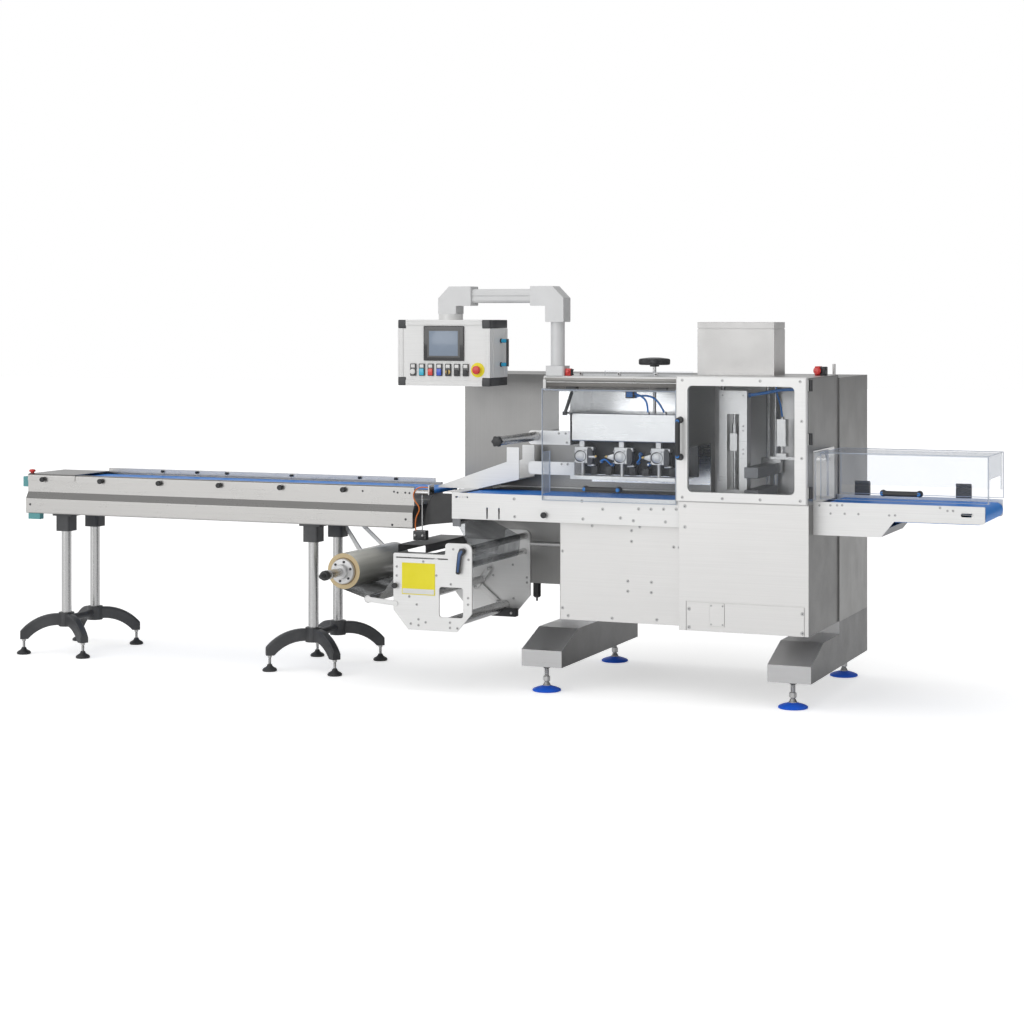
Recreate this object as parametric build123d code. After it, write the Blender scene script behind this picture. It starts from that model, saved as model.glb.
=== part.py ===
"""Flow wrap machine: a horizontal form, fill and seal packaging machine.

The product rides in from the left on an infeed conveyor, passes through a forming box where
film from a reel below wraps round it, has its seam closed by three sealing heads, is cut and
sealed by crimping jaws in a closed chamber, and leaves on the outfeed conveyor.

Lengths are in millimetres. X runs with the product, Y away from the operator, Z up.
The working datum is the left end of the feed rails, on the product's centre line, on the floor.
"""

from build123d import *
import math
import os

# Sizes that hold for the whole machine
BELT_TOP = 905.0
BELT_THICKNESS = 3.0
SHEET = 3.0
PLATE = 8.0
ROLLER_RADIUS = 30.0
ROLLER_INSET = 33.0
SLIDER_GAP = 35.0
LIP = 13.0
ROUND_GAP = 0.3
HINGE_RADIUS = 8.0
HINGE_LENGTH = 50.0

# Infeed conveyor
INFEED_LENGTH = 2201.0
INFEED_GAP = 265.0
INFEED_TOP = 916.0
INFEED_HALF_UPPER = 168.0
INFEED_HALF_LOWER = 188.0
INFEED_BEND_HIGH = 827.0
INFEED_BEND_LOW = 793.0
INFEED_BOTTOM = 717.0
INFEED_FLANGE_TOP = 26.0
INFEED_FLANGE_BOTTOM = 38.0
INFEED_BELT_WIDTH = 260.0
INFEED_TAIL = 50.0
NOSE_REACH = 82.0
NOSE_RADIUS = 8.0
NOSE_BRACKET = 6.0
NOSE_BRACKET_HEIGHT = 17.0
BEND = 3.0
END_COVER_LENGTH = 286.0
END_COVER_DROP = 30.0
GUIDE_Y = 148.0
GUIDE_HEIGHT = 20.0
GUIDE_THICKNESS = 6.0
KNOB_RADIUS = 13.0
KNOB_LENGTH = 22.0
KNOB_DROP = 24.0
INFEED_KNOBS = 6
INFEED_KNOB_START = 97.0
INFEED_KNOB_PITCH = 345.6
GUIDE_KNOB_RADIUS = 7.0
GUIDE_KNOB_LENGTH = 14.0
GUIDE_KNOB_PLACES = (615.0, 820.0, 995.0, 1370.0, 1755.0, 1955.0)
SWITCH_BOX = (44.0, 50.0, 52.0)
SWITCH_Y = -150.0
SWITCH_LOW = 850.0
MUSHROOM_RADIUS = 17.0
UNDER_BOX = (70.0, 34.0, 30.0)
TIE_RADIUS = 8.0
TIE_Y = 156.0
TIE_Z = 803.0

# Stands under the infeed conveyor
STAND_FIRST = 210.0
STAND_PITCH = 1430.0
COLUMN_RADIUS = 25.0
COLUMN_HALF_SPACING = 132.0
HUB_TOP = 209.0
HUB_RADIUS = 40.0
HUB_BOTTOM = 138.0
FOOT_REACH_X = 178.0
FOOT_REACH_Y = 120.0
ARM_WIDTH = 42.0
ARM_ROUND = 7.0
ARM_DROP = 92.0
ARM_THICKNESS = 54.0
ARM_END_BOTTOM = 78.0
CROSS_BAR_RADIUS = 18.0
CROSS_BAR_Z = 175.0
STAND_PAD_RADIUS = 36.0
STAND_PAD_RIM = 8.0
STAND_PAD_HEIGHT = 30.0
STAND_STEM_RADIUS = 8.0
CLAMP_HEIGHT = 88.0
CLAMP_BLOCK = 81.0
CLAMP_FLANGE = 123.0
CLAMP_FLANGE_DEPTH = 88.0
CLAMP_FLANGE_THICKNESS = 10.0
CLAMP_ROUND = 12.0
COLUMN_KNOB_Z = 508.0

# Legs and cabinets
LEG_WIDTH = 198.0
LEG_LEFT = 354.0
LEG_PITCH = 1172.0
LEG_FRONT = -323.0
LEG_BOTTOM = 120.0
TOE_HEIGHT = 77.0
PLATEAU_TOP = 274.0
PLATEAU_START = -104.0
CABINET_BOTTOM = 330.0
BACK_FRONT_FACE = 191.0
BACK_DEPTH = 552.0
BACK_LEFT = -156.0
BACK_TOP = 1452.0
BACK_STEP = 437.0
BACK_DOORS = 3
SEAM_WIDTH = 4.0
SEAM_DEPTH = 3.0
SEAM_BORDER = 40.0
PAD_RADIUS = 67.0
PAD_RIM = 8.0
PAD_HEIGHT = 26.0
PAD_INSET = 66.0
STEM_RADIUS = 11.0
NUT_RADIUS = 19.0
NUT_HEIGHT = 14.0
MIDDLE_LEFT = 501.0
MIDDLE_FRONT = -218.0
SEALER_WIDTH = 595.0
SEALER_FRONT = -342.0
SEALER_TOP = 905.0
CABINET_CORNER = 6.0
ACCESS_HEIGHT = 132.0
ACCESS_LEFT = 33.0
ACCESS_RIGHT = 16.0
FILTER_X = 210.0
FILTER_INSET = 40.0
FILTER_RADIUS = 19.0
FILTER_LENGTH = 74.0
FILTER_DRAIN = 17.0

# Feed section between the rails
RAIL_FRONT = -320.0
RAIL_BACK = 177.0
RAIL_HEIGHT = 122.0
RAIL_TOP = 909.0
RAIL_SLOT_X = (179.0, 239.0)
RAIL_SLOT = (54.0, 8.0)
RAIL_SLOT_LOW = 791.0
RAIL_LONG_SLOT = (67.0, 8.0)
RAIL_LONG_SLOT_START = 16.0
RAIL_LONG_SLOT_Z = 889.0
RAIL_KNOB = (467.0, 820.0)
RAIL_KNOB_RADIUS = 14.0
FEED_BELT_WIDTH = 286.0
FEED_BELT_GAP = 6.0
FEED_TAIL = 50.0
FEED_HEAD = 44.0
BED_HEIGHT = 34.0
EAR_WIDTH = 40.0
EAR_DROP = 37.0
EAR_THICKNESS = 8.0

# Dark chute between the infeed conveyor and the rails
CHUTE_REACH = 166.0
CHUTE_TOP = 888.0
CHUTE_MIDDLE = 815.0
CHUTE_LOW = 734.0
CHUTE_BULGE = 43.0
CHUTE_LIP = 48.0
CHUTE_HALF = 146.0
CHUTE_RIGHT_RISE = 24.0
FILM_GUARD = (146.0, 37.0)
FILM_GUARD_LEFT = -288.0
FILM_GUARD_LOW = 618.0
FILM_GUARD_FRONT = -300.0

# Sensor on its bracket beside the chute
SENSOR_RADIUS = 12.0
SENSOR_LENGTH = 72.0
SENSOR_Y = -182.0
SENSOR_Z = 893.0
SENSOR_PLATE = (6.0, 57.0, 47.0)
SENSOR_PLATE_LEFT = -176.0
SENSOR_PLATE_LOW = 882.0
SENSOR_BLOCK = (63.0, 39.0, 44.0)
SENSOR_BLOCK_LEFT = -249.0
SENSOR_BLOCK_LOW = 667.0
SENSOR_ROD_RADIUS = 3.0
SENSOR_ROD_X = -216.0
SENSOR_LEAD = 6.0

# Forming box and its film roller
FORMING_HALF = 96.0
FORMING_SHEET = 4.0
FORMING_TIP = -168.0
FORMING_HEEL = -28.0
FORMING_RIGHT = 250.0
FORMING_TAB = 63.0
FORMING_SHOULDER = 1044.0
FORMING_TOP = 1114.0
FORMING_RISE = 50.0
FORMING_BASE = 100.0
GUIDE_ROLLER_X = 341.0
GUIDE_ROLLER_Z = 1170.0
GUIDE_ROLLER_RADIUS = 21.0
GUIDE_ROLLER_FRONT = -574.0
GUIDE_KNOB_SIZE = (27.0, 26.0)
BRACKET_SHEET = 6.0
BRACKET_LEFT = 302.0
BRACKET_HEIGHT = 66.0
BRACKET_ROUND = 18.0
LOWER_BRACKET_LOW = 990.0
LOWER_BRACKET_HEIGHT = 61.0

# Seam sealing section
CANOPY_LEFT = 417.0
CANOPY_FRONT = -205.0
CANOPY_TOP = 1458.0
CANOPY_LIP = 70.0
CANOPY_SHEET = 6.0
CANOPY_HEM = 24.0
FIN_FRONT = -110.0
FIN_LEFT = 522.0
FIN_WIDTH = 506.0
FIN_LOW = 1152.0
FIN_HEIGHT = 130.0
FIN_CORNER = 5.0
FIN_END_WIDTH = 24.0
FIN_END_HEIGHT = 112.0
END_PLATE_X = 507.0
END_FLANGE = 56.0
BACK_PLATE_LOW = 940.0
HEAD_PLACES = (562.0, 758.0, 939.0)
HEAD_Z = 1080.0
HEAD_PLATE = 64.0
HEAD_PLATE_CORNER = 7.0
HEAD_DEPTH = 44.0
HEAD_SETBACK_Y = 16.0
HEAD_DISC_RADIUS = 23.0
HEAD_GROOVE = 3.0
HEAD_GROOVE_DEPTH = 5.0
HEAD_DISC_PROUD = 4.0
HEAD_PAD = (22.0, 52.0, 30.0)
HEAD_STEM = 24.0
HEAD_POST_RADIUS = 9.0
BAR_TOP = 990.0
BAR_HEIGHT = 17.0
BAR_DEPTH = 60.0
SPINDLE_X = 892.0
SPINDLE_RADIUS = 8.0
HANDWHEEL_RISE = 42.0
HANDWHEEL_HUB = (22.0, 10.0)
HANDWHEEL_REACH = 54.0
HANDWHEEL_LOBE = 30.0
HANDWHEEL_HEIGHT = 28.0
HANDWHEEL_CAP = (34.0, 6.0)

# Clear guard in front of the seam sealing section
GUARD_SHEET = 6.0
FRONT_GUARD_LEFT = 458.0
FRONT_GUARD_RIGHT = 1105.0
FRONT_GUARD_Y = -332.0
FRONT_GUARD_TOP = 1404.0
FRONT_GUARD_LOW = 889.0
FRONT_GUARD_RETURN = 90.0
FRONT_GUARD_RETURN_TOP = 1110.0
FRONT_GUARD_RETURN_LOW = 920.0
FRONT_HINGE_REACH = 12.0
FRONT_HINGE_PLACES = (560.0, 1000.0)
FRONT_HANDLE_X = 756.0
FRONT_HANDLE_Z = 948.0
GRIP_LENGTH = 189.0
GRIP_HEIGHT = 30.0
GRIP_THICKNESS = 14.0
GRIP_STANDOFF = 14.0
GRIP_FOOT_RADIUS = 9.0
STRUT_LOW_X = 502.0
STRUT_HIGH_X = 557.0
STRUT_TOP_DROP = 12.0
STRUT_Y = -150.0
STRUT_BODY_RADIUS = 8.0
STRUT_ROD_RADIUS = 4.0
STRUT_BODY_SHARE = 0.62
STRUT_EYE_RADIUS = 9.0

# Sealing chamber
CHAMBER_WALL = 4.0
CHAMBER_TOP = 1465.0
CHAMBER_LEFT = 1123.0
PASS_HEIGHT = 235.0
PASS_FRONT = -262.0
PASS_BACK = 130.0
DOOR_THICKNESS = 25.0
DOOR_GAP = 3.0
DOOR_OVERLAP = 6.0
DOOR_INSET = 2.0
DOOR_BORDER_SIDE = 54.0
DOOR_BORDER_TOP = 42.0
DOOR_BORDER_BOTTOM = 44.0
DOOR_CORNER = 22.0
DOOR_ROUND = 4.0
PANE_THICKNESS = 6.0
PANE_SETBACK = 12.0
HANDLE_LOW = 1106.0
HANDLE_LENGTH = 168.0
HANDLE_STANDOFF = 40.0
HANDLE_RADIUS = 12.0
HANDLE_BEND = 22.0
HANDLE_INSET = 22.0
DOOR_HINGE_REACH = 10.0
DOOR_HINGE_PLACES = (936.0, 1172.0, 1407.0)
DOOR_LEAF_THICKNESS = 4.0
HOOD_OVERHANG = 16.0
HOOD_WIDTH = 365.0
HOOD_FRONT = -17.0
HOOD_DEPTH = 184.0
HOOD_HEIGHT = 243.0
HOOD_LID = 28.0
TOP_BOX = (50.0, 50.0, 44.0)
TOP_BOX_PLACE = (1640.0, 60.0)
LEFT_BOX = (30.0, 30.0, 36.0)
LEFT_BOX_PLACE = (518.0, -190.0)
VENT_PLACE = (1706.0, 160.0)
VENT_RADIUS = 7.0
VENT_HEIGHT = 51.0

# Jaws, their guides and the column
COLUMN_LEFT = 1236.0
COLUMN_WIDTH = 132.0
COLUMN_FRONT = -100.0
COLUMN_DEPTH = 60.0
COLUMN_TOP = 1397.0
COLUMN_SHEET = 5.0
COLUMN_SLOT = (57.0, 345.0)
COLUMN_SLOT_LOW = 945.0
SLIDE_ROD_RADIUS = 8.0
SLIDE_BLOCK = (38.0, 44.0, 80.0)
SLIDE_BLOCK_LOW = 1122.0
COUPLING_RADIUS = 13.0
COUPLING_LENGTH = 44.0
JAW_LEFT = 1384.0
JAW_WIDTH = 64.0
JAW_FRONT = -200.0
JAW_BACK = 128.0
JAW_HEIGHT = 46.0
JAW_UPPER_LOW = 1010.0
JAW_TEETH = 12
JAW_TOOTH_DEPTH = 4.0
CARRIAGE_DEPTH = 40.0
CARRIAGE_HEIGHT = 70.0
CARRIAGE_MARGIN = 14.0
GUIDE_ROD_RADIUS = 10.0
FRONT_ROD_PLACE = (1207.0, 60.0)
FRONT_ROD_COLLAR = (17.0, 26.0, 1250.0)
CROSS_BAR_LEFT = 1440.0
CROSS_BAR_LOW = 1080.0
CROSS_BAR_THICKNESS = 12.0
CROSS_BAR_Y = 30.0
CROSS_BAR_DEPTH = 30.0
ACTUATOR_X = 1494.0
ACTUATOR_WIDTH = 46.0
ACTUATOR_BASE = 16.0
ACTUATOR_NECK = 32.0
ACTUATOR_HEIGHT = 124.0

# Outfeed conveyor
OUTFEED_RIGHT = 2471.0
OUTFEED_FRONT = -262.0
OUTFEED_BACK = 178.0
OUTFEED_PLATE = 6.0
OUTFEED_DEEP = 147.0
OUTFEED_SHALLOW = 76.0
OUTFEED_STEP = 302.0
OUTFEED_SLOPE = 58.0
OUTFEED_CORNER = 12.0
OUTFEED_BELT_GAP = 6.0
OUTFEED_TAIL = 40.0
OUTFEED_HEAD = 30.0
OUTFEED_SLOT = (56.0, 16.0)
OUTFEED_SLOT_INSET = 76.0
OUTFEED_SLOT_DROP = 22.0
ENTRY_SHEET = 6.0
ENTRY_WIDTH = 252.0
ENTRY_HOLE = (210.0, 190.0)
ENTRY_HOLE_ROUND = 40.0
TUNNEL_LEFT = 1736.0
TUNNEL_RIGHT = 2476.0
TUNNEL_FRONT = -204.0
TUNNEL_BACK = 166.0
TUNNEL_TOP = 1132.0
TUNNEL_CLEARANCE = 7.0
TUNNEL_BACK_RISE = 40.0
TUNNEL_EXIT = (280.0, 105.0)
TUNNEL_EXIT_ROUND = 18.0
TUNNEL_HINGE_PLACES = (1835.0, 2297.0)
TUNNEL_HINGE_LENGTH = 68.0
TUNNEL_HINGE_RISE = 57.0
TUNNEL_HANDLE_X = 2098.0
TUNNEL_HANDLE_RISE = 36.0
TUNNEL_KNOB = (13.0, 50.0)

# Film unwinder
UNWIND_LEFT = -203.0
UNWIND_WIDTH = 396.0
UNWIND_ROOM = 60.0
UNWIND_BOTTOM = 288.0
UNWIND_TOP = 695.0
UNWIND_SHOULDER = 640.0
UNWIND_SHOULDER_END = 60.0
UNWIND_CUT_X = 76.0
UNWIND_CUT_Z = 88.0
UNWIND_ROUND = 16.0
UNWIND_WINDOW = (120.0, 139.0)
UNWIND_WINDOW_PLACE = (89.0, 423.0)
UNWIND_WINDOW_ROUND = 12.0
UNWIND_SLOT = (264.0, 6.0)
UNWIND_SLOT_PLACE = (-58.0, 620.0)
TOP_ROLLER = (166.0, 666.0, 16.0)
EXIT_ROLLER = (161.0, 593.0, 14.0)
MIDDLE_ROLLER = (10.0, 604.0, 18.0)
ENTRY_ROLLER = (-150.0, 590.0, 14.0)
LOW_ROLLER = (60.0, 322.0, 27.0)
BACK_ROLLER = (-62.0, 444.0, 20.0)
DANCER = (-335.0, 418.0, 18.0)
DANCER_PIVOT = (-215.0, 406.0)
DANCER_ARM_HEIGHT = 24.0
DANCER_ARM_THICKNESS = 5.0
FILM_BAR = (20.0, 768.0, 13.0)
LEVER_PIVOT = (150.0, 664.0)
LEVER_TIP = (131.0, 566.0)
LEVER_WIDTH = 20.0
SIDE_KNOB = (-190.0, 490.0)
UNWIND_TUBE_Z = 630.0
UNWIND_TUBE_RADIUS = 9.0
REEL_X = -490.0
REEL_Z = 535.0
REEL_RADIUS = 84.0
CORE_RADIUS = 60.0
REEL_LENGTH = 560.0
REEL_SETBACK = 93.0
CHUCK_FLANGE = (72.0, 8.0)
SHAFT_RADIUS = 22.0
SHAFT_FRONT = 215.0
SHAFT_CAP = (24.0, 26.0)
BEARING_RADIUS = 46.0
BEARING_LENGTH = 36.0
BEARING_GAP = 12.0
REEL_ARM_HEIGHT = 64.0
REEL_ARM_THICKNESS = 12.0
REEL_ARM_REACH = 225.0
REEL_STRUT_WIDTH = 26.0
REEL_STRUT_TOP = -737.0
REEL_STRUT_LEAN = 174.0
REEL_BRACE_LEAN = 88.0
REEL_BRACE_DROP = 27.0
FILM_THICKNESS = 1.0
FILM_INSET = 10.0
FILM_TOP_FRONT = -282.0

# Hoses
HOSE = 9.0
HOSE_SEAT = 2.0
TRUNK_HOSE = 14.0
CONNECTOR = (40.0, 40.0)
CONNECTOR_PLACE = (800.0, -130.0)
CONNECTOR_HEIGHT = 96.0

# Operator panel on its arm
POST_X = 470.0
POST_Y = -160.0
ARM_REACH = 546.0
ARM_Z = 1830.0
ARM_TUBE = 66.0
ARM_TUBE_ROUND = 15.0
ARM_GROOVE = (5.0, 3.0)
ELBOW = 92.0
ELBOW_RUN = 122.0
ELBOW_CHAMFER = 56.0
ELBOW_ROUND = 5.0
ELBOW_DROP = 122.0
FAR_ELBOW_DROP = 86.0
BASE_SIZE = 92.0
BASE_HEIGHT = 46.0
PANEL_FORWARD = 167.0
PANEL_WIDTH = 472.0
PANEL_DEPTH = 216.0
PANEL_HEIGHT = 310.0
PANEL_CORNER = 40.0
PANEL_OFFSET = 36.0
PANEL_STEP = 26.0
PANEL_STEP_DEPTH = 4.0
COLLAR_RADIUS = 58.0
COLLAR_HEIGHT = 26.0
SCREEN = (162.0, 164.0, 8.0)
SCREEN_LEFT = 179.0
SCREEN_DROP = 29.0
SCREEN_ROUND = 4.0
BUTTON = (30.0, 58.0, 10.0)
BUTTON_START = 80.0
BUTTON_PITCH = 45.0
BUTTONS = 7
BUTTON_RISE = 46.0
STOP_RING = (34.0, 3.0)
STOP_HEAD = 20.0
STOP_OFFSET = 410.0
STOP_RISE = 76.0
SIDE_GRIP_RISE = 100.0
SIDE_GRIP_LENGTH = 112.0
SIDE_GRIP_STANDOFF = 34.0
SIDE_GRIP_RADIUS = 8.0
SIDE_GRIP_BEND = 12.0

# Places worked out from the sizes above
belt_outer = ROLLER_RADIUS + BELT_THICKNESS
roller_z = BELT_TOP - belt_outer
slider_top = BELT_TOP - BELT_THICKNESS
infeed_right = -INFEED_GAP
infeed_left = infeed_right - INFEED_LENGTH
infeed_inner = INFEED_HALF_UPPER - SHEET
leg_right = LEG_LEFT + LEG_PITCH
back_right = leg_right + LEG_WIDTH
back_rear = BACK_FRONT_FACE + BACK_DEPTH
sealer_right = CHAMBER_LEFT + SEALER_WIDTH
ceiling = CHAMBER_TOP - CHAMBER_WALL
canopy_under = CANOPY_TOP - CANOPY_SHEET
lip_bottom = CANOPY_TOP - CANOPY_LIP
rail_bottom = RAIL_TOP - RAIL_HEIGHT
bed_front = RAIL_FRONT + PLATE
bed_back = RAIL_BACK - PLATE
outfeed_left = sealer_right
outfeed_top = BELT_TOP + LIP
tunnel_low = outfeed_top + TUNNEL_CLEARANCE
handwheel_low = CANOPY_TOP + HANDWHEEL_RISE
fin_top = FIN_LOW + FIN_HEIGHT
strut_low = fin_top
strut_high = canopy_under - STRUT_TOP_DROP
unwind_back = BACK_FRONT_FACE - PLATE
reel_back = unwind_back - REEL_SETBACK
reel_front = reel_back - REEL_LENGTH
unwind_front = reel_front - UNWIND_ROOM
unwind_inner = unwind_front + PLATE
panel_axis = POST_X - ARM_REACH
panel_top = ARM_Z - FAR_ELBOW_DROP - ROUND_GAP - COLLAR_HEIGHT

SMALL_SIDES = 14
PAD_SIDES = 22
HOSE_SIDES = 10

nodes = {}


def keep(name, *shapes):
    """Adds shapes to the named piece."""
    nodes.setdefault(name, []).extend(shapes)


def block(x0, x1, y0, y1, z0, z1):
    """Box between two corners."""
    centre = ((x0 + x1) / 2, (y0 + y1) / 2, (z0 + z1) / 2)
    return Pos(*centre) * Box(x1 - x0, y1 - y0, z1 - z0)


def along(x, y, z, axis, shape):
    """Shape that stands on the origin, moved to a point and turned to face along an axis."""
    turns = {"X": Rot(0, 90, 0), "-X": Rot(0, -90, 0), "Y": Rot(-90, 0, 0), "-Y": Rot(90, 0, 0),
             "Z": Rot(0, 0, 0)}
    return Pos(x, y, z) * turns[axis] * shape


def rod(x, y, z, radius, length, axis="Z"):
    """Round bar that starts at a point and runs along an axis."""
    return along(x, y, z, axis, Cylinder(radius, length, align=(Align.CENTER, Align.CENTER, Align.MIN)))


def peg(x, y, z, radius, length, axis="Z", sides=SMALL_SIDES):
    """Small bar with few sides, for the little parts that repeat."""
    return along(x, y, z, axis, extrude(RegularPolygon(radius, sides), amount=length))


def outline(points):
    """Face inside a closed path; a corner is rounded where its point names a radius."""
    radii = [point[2] if len(point) > 2 else 0.0 for point in points]
    places = [point[:2] for point in points]
    if any(radii):
        return make_face(FilletPolyline(*places, radius=radii, close=True))
    return make_face(Polyline(*places, close=True))


def plate_xz(face, y0, y1):
    """Face drawn in X and Z, with a thickness along Y."""
    plane = Plane(origin=(0, y1, 0), x_dir=(1, 0, 0), z_dir=(0, -1, 0))
    return extrude(plane * face, amount=y1 - y0)


def outline_xz(points, y0, y1):
    """Outline in X and Z with a thickness along Y."""
    return plate_xz(outline(points), y0, y1)


def outline_yz(points, x0, x1):
    """Outline in Y and Z with a thickness along X."""
    plane = Plane(origin=(x0, 0, 0), x_dir=(0, 1, 0), z_dir=(1, 0, 0))
    return extrude(plane * outline(points), amount=x1 - x0)


def pad_xy(x, y, z0, z1, size_x, size_y, corner):
    """Upright block with rounded corners, centred on a point."""
    return Pos(x, y, z0) * extrude(RectangleRounded(size_x, size_y, corner), amount=z1 - z0)


def window_xz(x, z, width, height, corner, y0, y1):
    """Opening with rounded corners, cut along Y."""
    return plate_xz(Pos(x, z) * RectangleRounded(width, height, corner), y0, y1)


def slot_xz(x, z, length, width, y0, y1, turn=0):
    """Slot with round ends, cut along Y."""
    return plate_xz(Pos(x, z) * Rot(0, 0, turn) * SlotOverall(length, width), y0, y1)


def beside(points, distance):
    """Points of a path that runs at a distance to the left of the given one."""
    normals = []
    for (x0, y0), (x1, y1) in zip(points, points[1:]):
        length = math.hypot(x1 - x0, y1 - y0)
        normals.append(((y0 - y1) / length, (x1 - x0) / length))
    pairs = [(normals[0], normals[0])] + list(zip(normals, normals[1:]))
    pairs.append((normals[-1], normals[-1]))
    moved = []
    for (x, y), (before, after) in zip(points, pairs):
        share = distance / (1 + before[0] * after[0] + before[1] * after[1])
        moved.append((x + share * (before[0] + after[0]), y + share * (before[1] + after[1])))
    return moved


def bent_sheet(points, thickness, bend=BEND):
    """Closed outline of a folded sheet to the left of a path, with its bends rounded."""
    face_radii = [0.0]
    back_radii = [0.0]
    for before, here, after in zip(points, points[1:], points[2:]):
        turn = (here[0] - before[0]) * (after[1] - here[1]) - (here[1] - before[1]) * (after[0] - here[0])
        face_radii.append(bend + thickness if turn > 0 else bend)
        back_radii.append(bend if turn > 0 else bend + thickness)
    face_radii.append(0.0)
    back_radii.append(0.0)
    face = [(*point, radius) for point, radius in zip(points, face_radii)]
    back = [(*point, radius) for point, radius in zip(beside(points, thickness), back_radii)]
    return face + back[::-1]


def mirrored(shape):
    """Copy of a shape on the other side of the product's centre line."""
    return mirror(shape, about=Plane.XZ)


def straight_run(start, end):
    """Ends of the tight run between two rollers, each given by x, z and radius.

    The run keeps a roller on its right, or on its left where the radius is negative.
    """
    (x0, z0, radius0), (x1, z1, radius1) = start, end
    length = math.hypot(x1 - x0, z1 - z0)
    ahead = ((x1 - x0) / length, (z1 - z0) / length)
    lean = (radius0 - radius1) / length
    across = math.sqrt(1 - lean ** 2)
    normal = (lean * ahead[0] - across * ahead[1], lean * ahead[1] + across * ahead[0])
    leave = (x0 + normal[0] * radius0, z0 + normal[1] * radius0)
    arrive = (x1 + normal[0] * radius1, z1 + normal[1] * radius1)
    return leave, arrive


def tight_path(rollers):
    """Lines and arcs of a path pulled tight over rollers."""
    runs = [straight_run(a, b) for a, b in zip(rollers, rollers[1:])]
    path = [Line(*runs[0])]
    for (x, z, radius), (_, arrive), (leave, beyond) in zip(rollers[1:], runs, runs[1:]):
        start = math.atan2(arrive[1] - z, arrive[0] - x)
        sweep = math.atan2(leave[1] - z, leave[0] - x) - start
        sweep = -(-sweep % math.tau) if radius > 0 else sweep % math.tau
        middle = start + sweep / 2
        size = abs(radius)
        path.append(ThreePointArc(arrive, (x + size * math.cos(middle), z + size * math.sin(middle)), leave))
        path.append(Line(leave, beyond))
    return path


def belt_loop(tail, head, y0, y1, head_radius=ROLLER_RADIUS):
    """Flat belt round two end rollers, with its top run at belt height."""
    rings = []
    for grow in (BELT_THICKNESS, 0.0):
        ends = [(tail, roller_z, ROLLER_RADIUS + grow)]
        ends.append((head, slider_top - head_radius, head_radius + grow))
        rings.append(make_face(Curve() + tight_path(ends + ends)[:-1]))
    return plate_xz(rings[0] - rings[1], y0, y1)


def round_knob(radius, length):
    """Knob with a dished waist and a bevelled head, standing on the origin."""
    stem = extrude(RegularPolygon(radius * 0.55, SMALL_SIDES), amount=length * 0.35)
    head = Pos(0, 0, length * 0.35) * extrude(RegularPolygon(radius, SMALL_SIDES), amount=length * 0.65)
    return stem + chamfer(head.faces().sort_by(Axis.Z)[-1].edges(), radius * 0.2)


def star_knob(radius, height, lobes, lobe_radius):
    """Knob with round lobes about its rim, standing on the origin."""
    shape = Circle(radius - lobe_radius)
    for turn in range(lobes):
        shape += Rot(0, 0, turn * 360 / lobes) * Pos(radius - lobe_radius, 0) * Circle(lobe_radius)
    return extrude(shape, amount=height)


def mushroom(radius):
    """Push button with a domed head on a neck, standing on the origin."""
    neck = extrude(RegularPolygon(radius * 0.55, SMALL_SIDES), amount=radius * 0.75)
    head = Pos(0, 0, radius * 0.75) * extrude(RegularPolygon(radius, SMALL_SIDES), amount=radius * 0.6)
    return neck + chamfer(head.faces().sort_by(Axis.Z)[-1].edges(), radius * 0.3, radius * 0.2)


def levelling_pad(radius, rim, height, neck):
    """Round foot with a flat rim and a cone that narrows to its neck."""
    pad = extrude(RegularPolygon(radius, PAD_SIDES), amount=height)
    top = pad.faces().sort_by(Axis.Z)[-1]
    return chamfer(top.edges(), radius - neck, height - rim, reference=top)


def bow(standoff, length, radius, bend):
    """Tubular handle that leaves the origin along X, runs up along Z and comes back."""
    path = FilletPolyline((0, 0, 0), (standoff, 0, 0), (standoff, 0, length), (0, 0, length), radius=bend)
    return sweep(Plane.YZ * RegularPolygon(radius, HOSE_SIDES), path=path)


def grip(x, y, z):
    """Flat handle with round ends on two feet, standing out from a sheet towards the operator."""
    back = y - GRIP_STANDOFF
    bar = slot_xz(x, z, GRIP_LENGTH, GRIP_HEIGHT, back - GRIP_THICKNESS, back)
    reach = GRIP_LENGTH / 2 - GRIP_HEIGHT / 2
    for place in (x - reach, x + reach):
        bar += peg(place, y, z, GRIP_FOOT_RADIUS, GRIP_STANDOFF, "-Y")
    return bar


def bend_radii(points):
    """Radius at each corner of a hose: 0.45 of its shorter run over the tangent of half the turn."""
    radii = []
    for before, here, after in zip(points, points[1:], points[2:]):
        come = Vector(*here) - Vector(*before)
        leave = Vector(*after) - Vector(*here)
        half_turn = math.radians(come.get_angle(leave)) / 2
        radii.append(0.45 * min(come.length, leave.length) / math.tan(half_turn))
    return radii


def hose(name, points, diameter, carriers):
    """Tube along straight runs joined by arcs, with its ends cut flush with what carries it.

    It prints its radii and how full its volume is.
    """
    first, second, near_last, last = [Vector(*points[index]) for index in (0, 1, -2, -1)]
    first += (first - second).normalized() * HOSE_SEAT
    last += (last - near_last).normalized() * HOSE_SEAT
    points = [tuple(first)] + points[1:-1] + [tuple(last)]
    radii = bend_radii(points)
    path = FilletPolyline(*points, radius=radii)
    section = Plane(origin=path @ 0, z_dir=path % 0) * RegularPolygon(diameter / 2, HOSE_SIDES)
    tube = sweep(section, path=path)
    full = tube.volume / (section.area * path.length)
    print(name, "length", round(path.length), "radii", [round(radius) for radius in radii], "volume",
          round(full, 3))
    for carrier in carriers:
        tube -= carrier
    return tube.solids().sort_by(SortBy.VOLUME)[-1]


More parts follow.
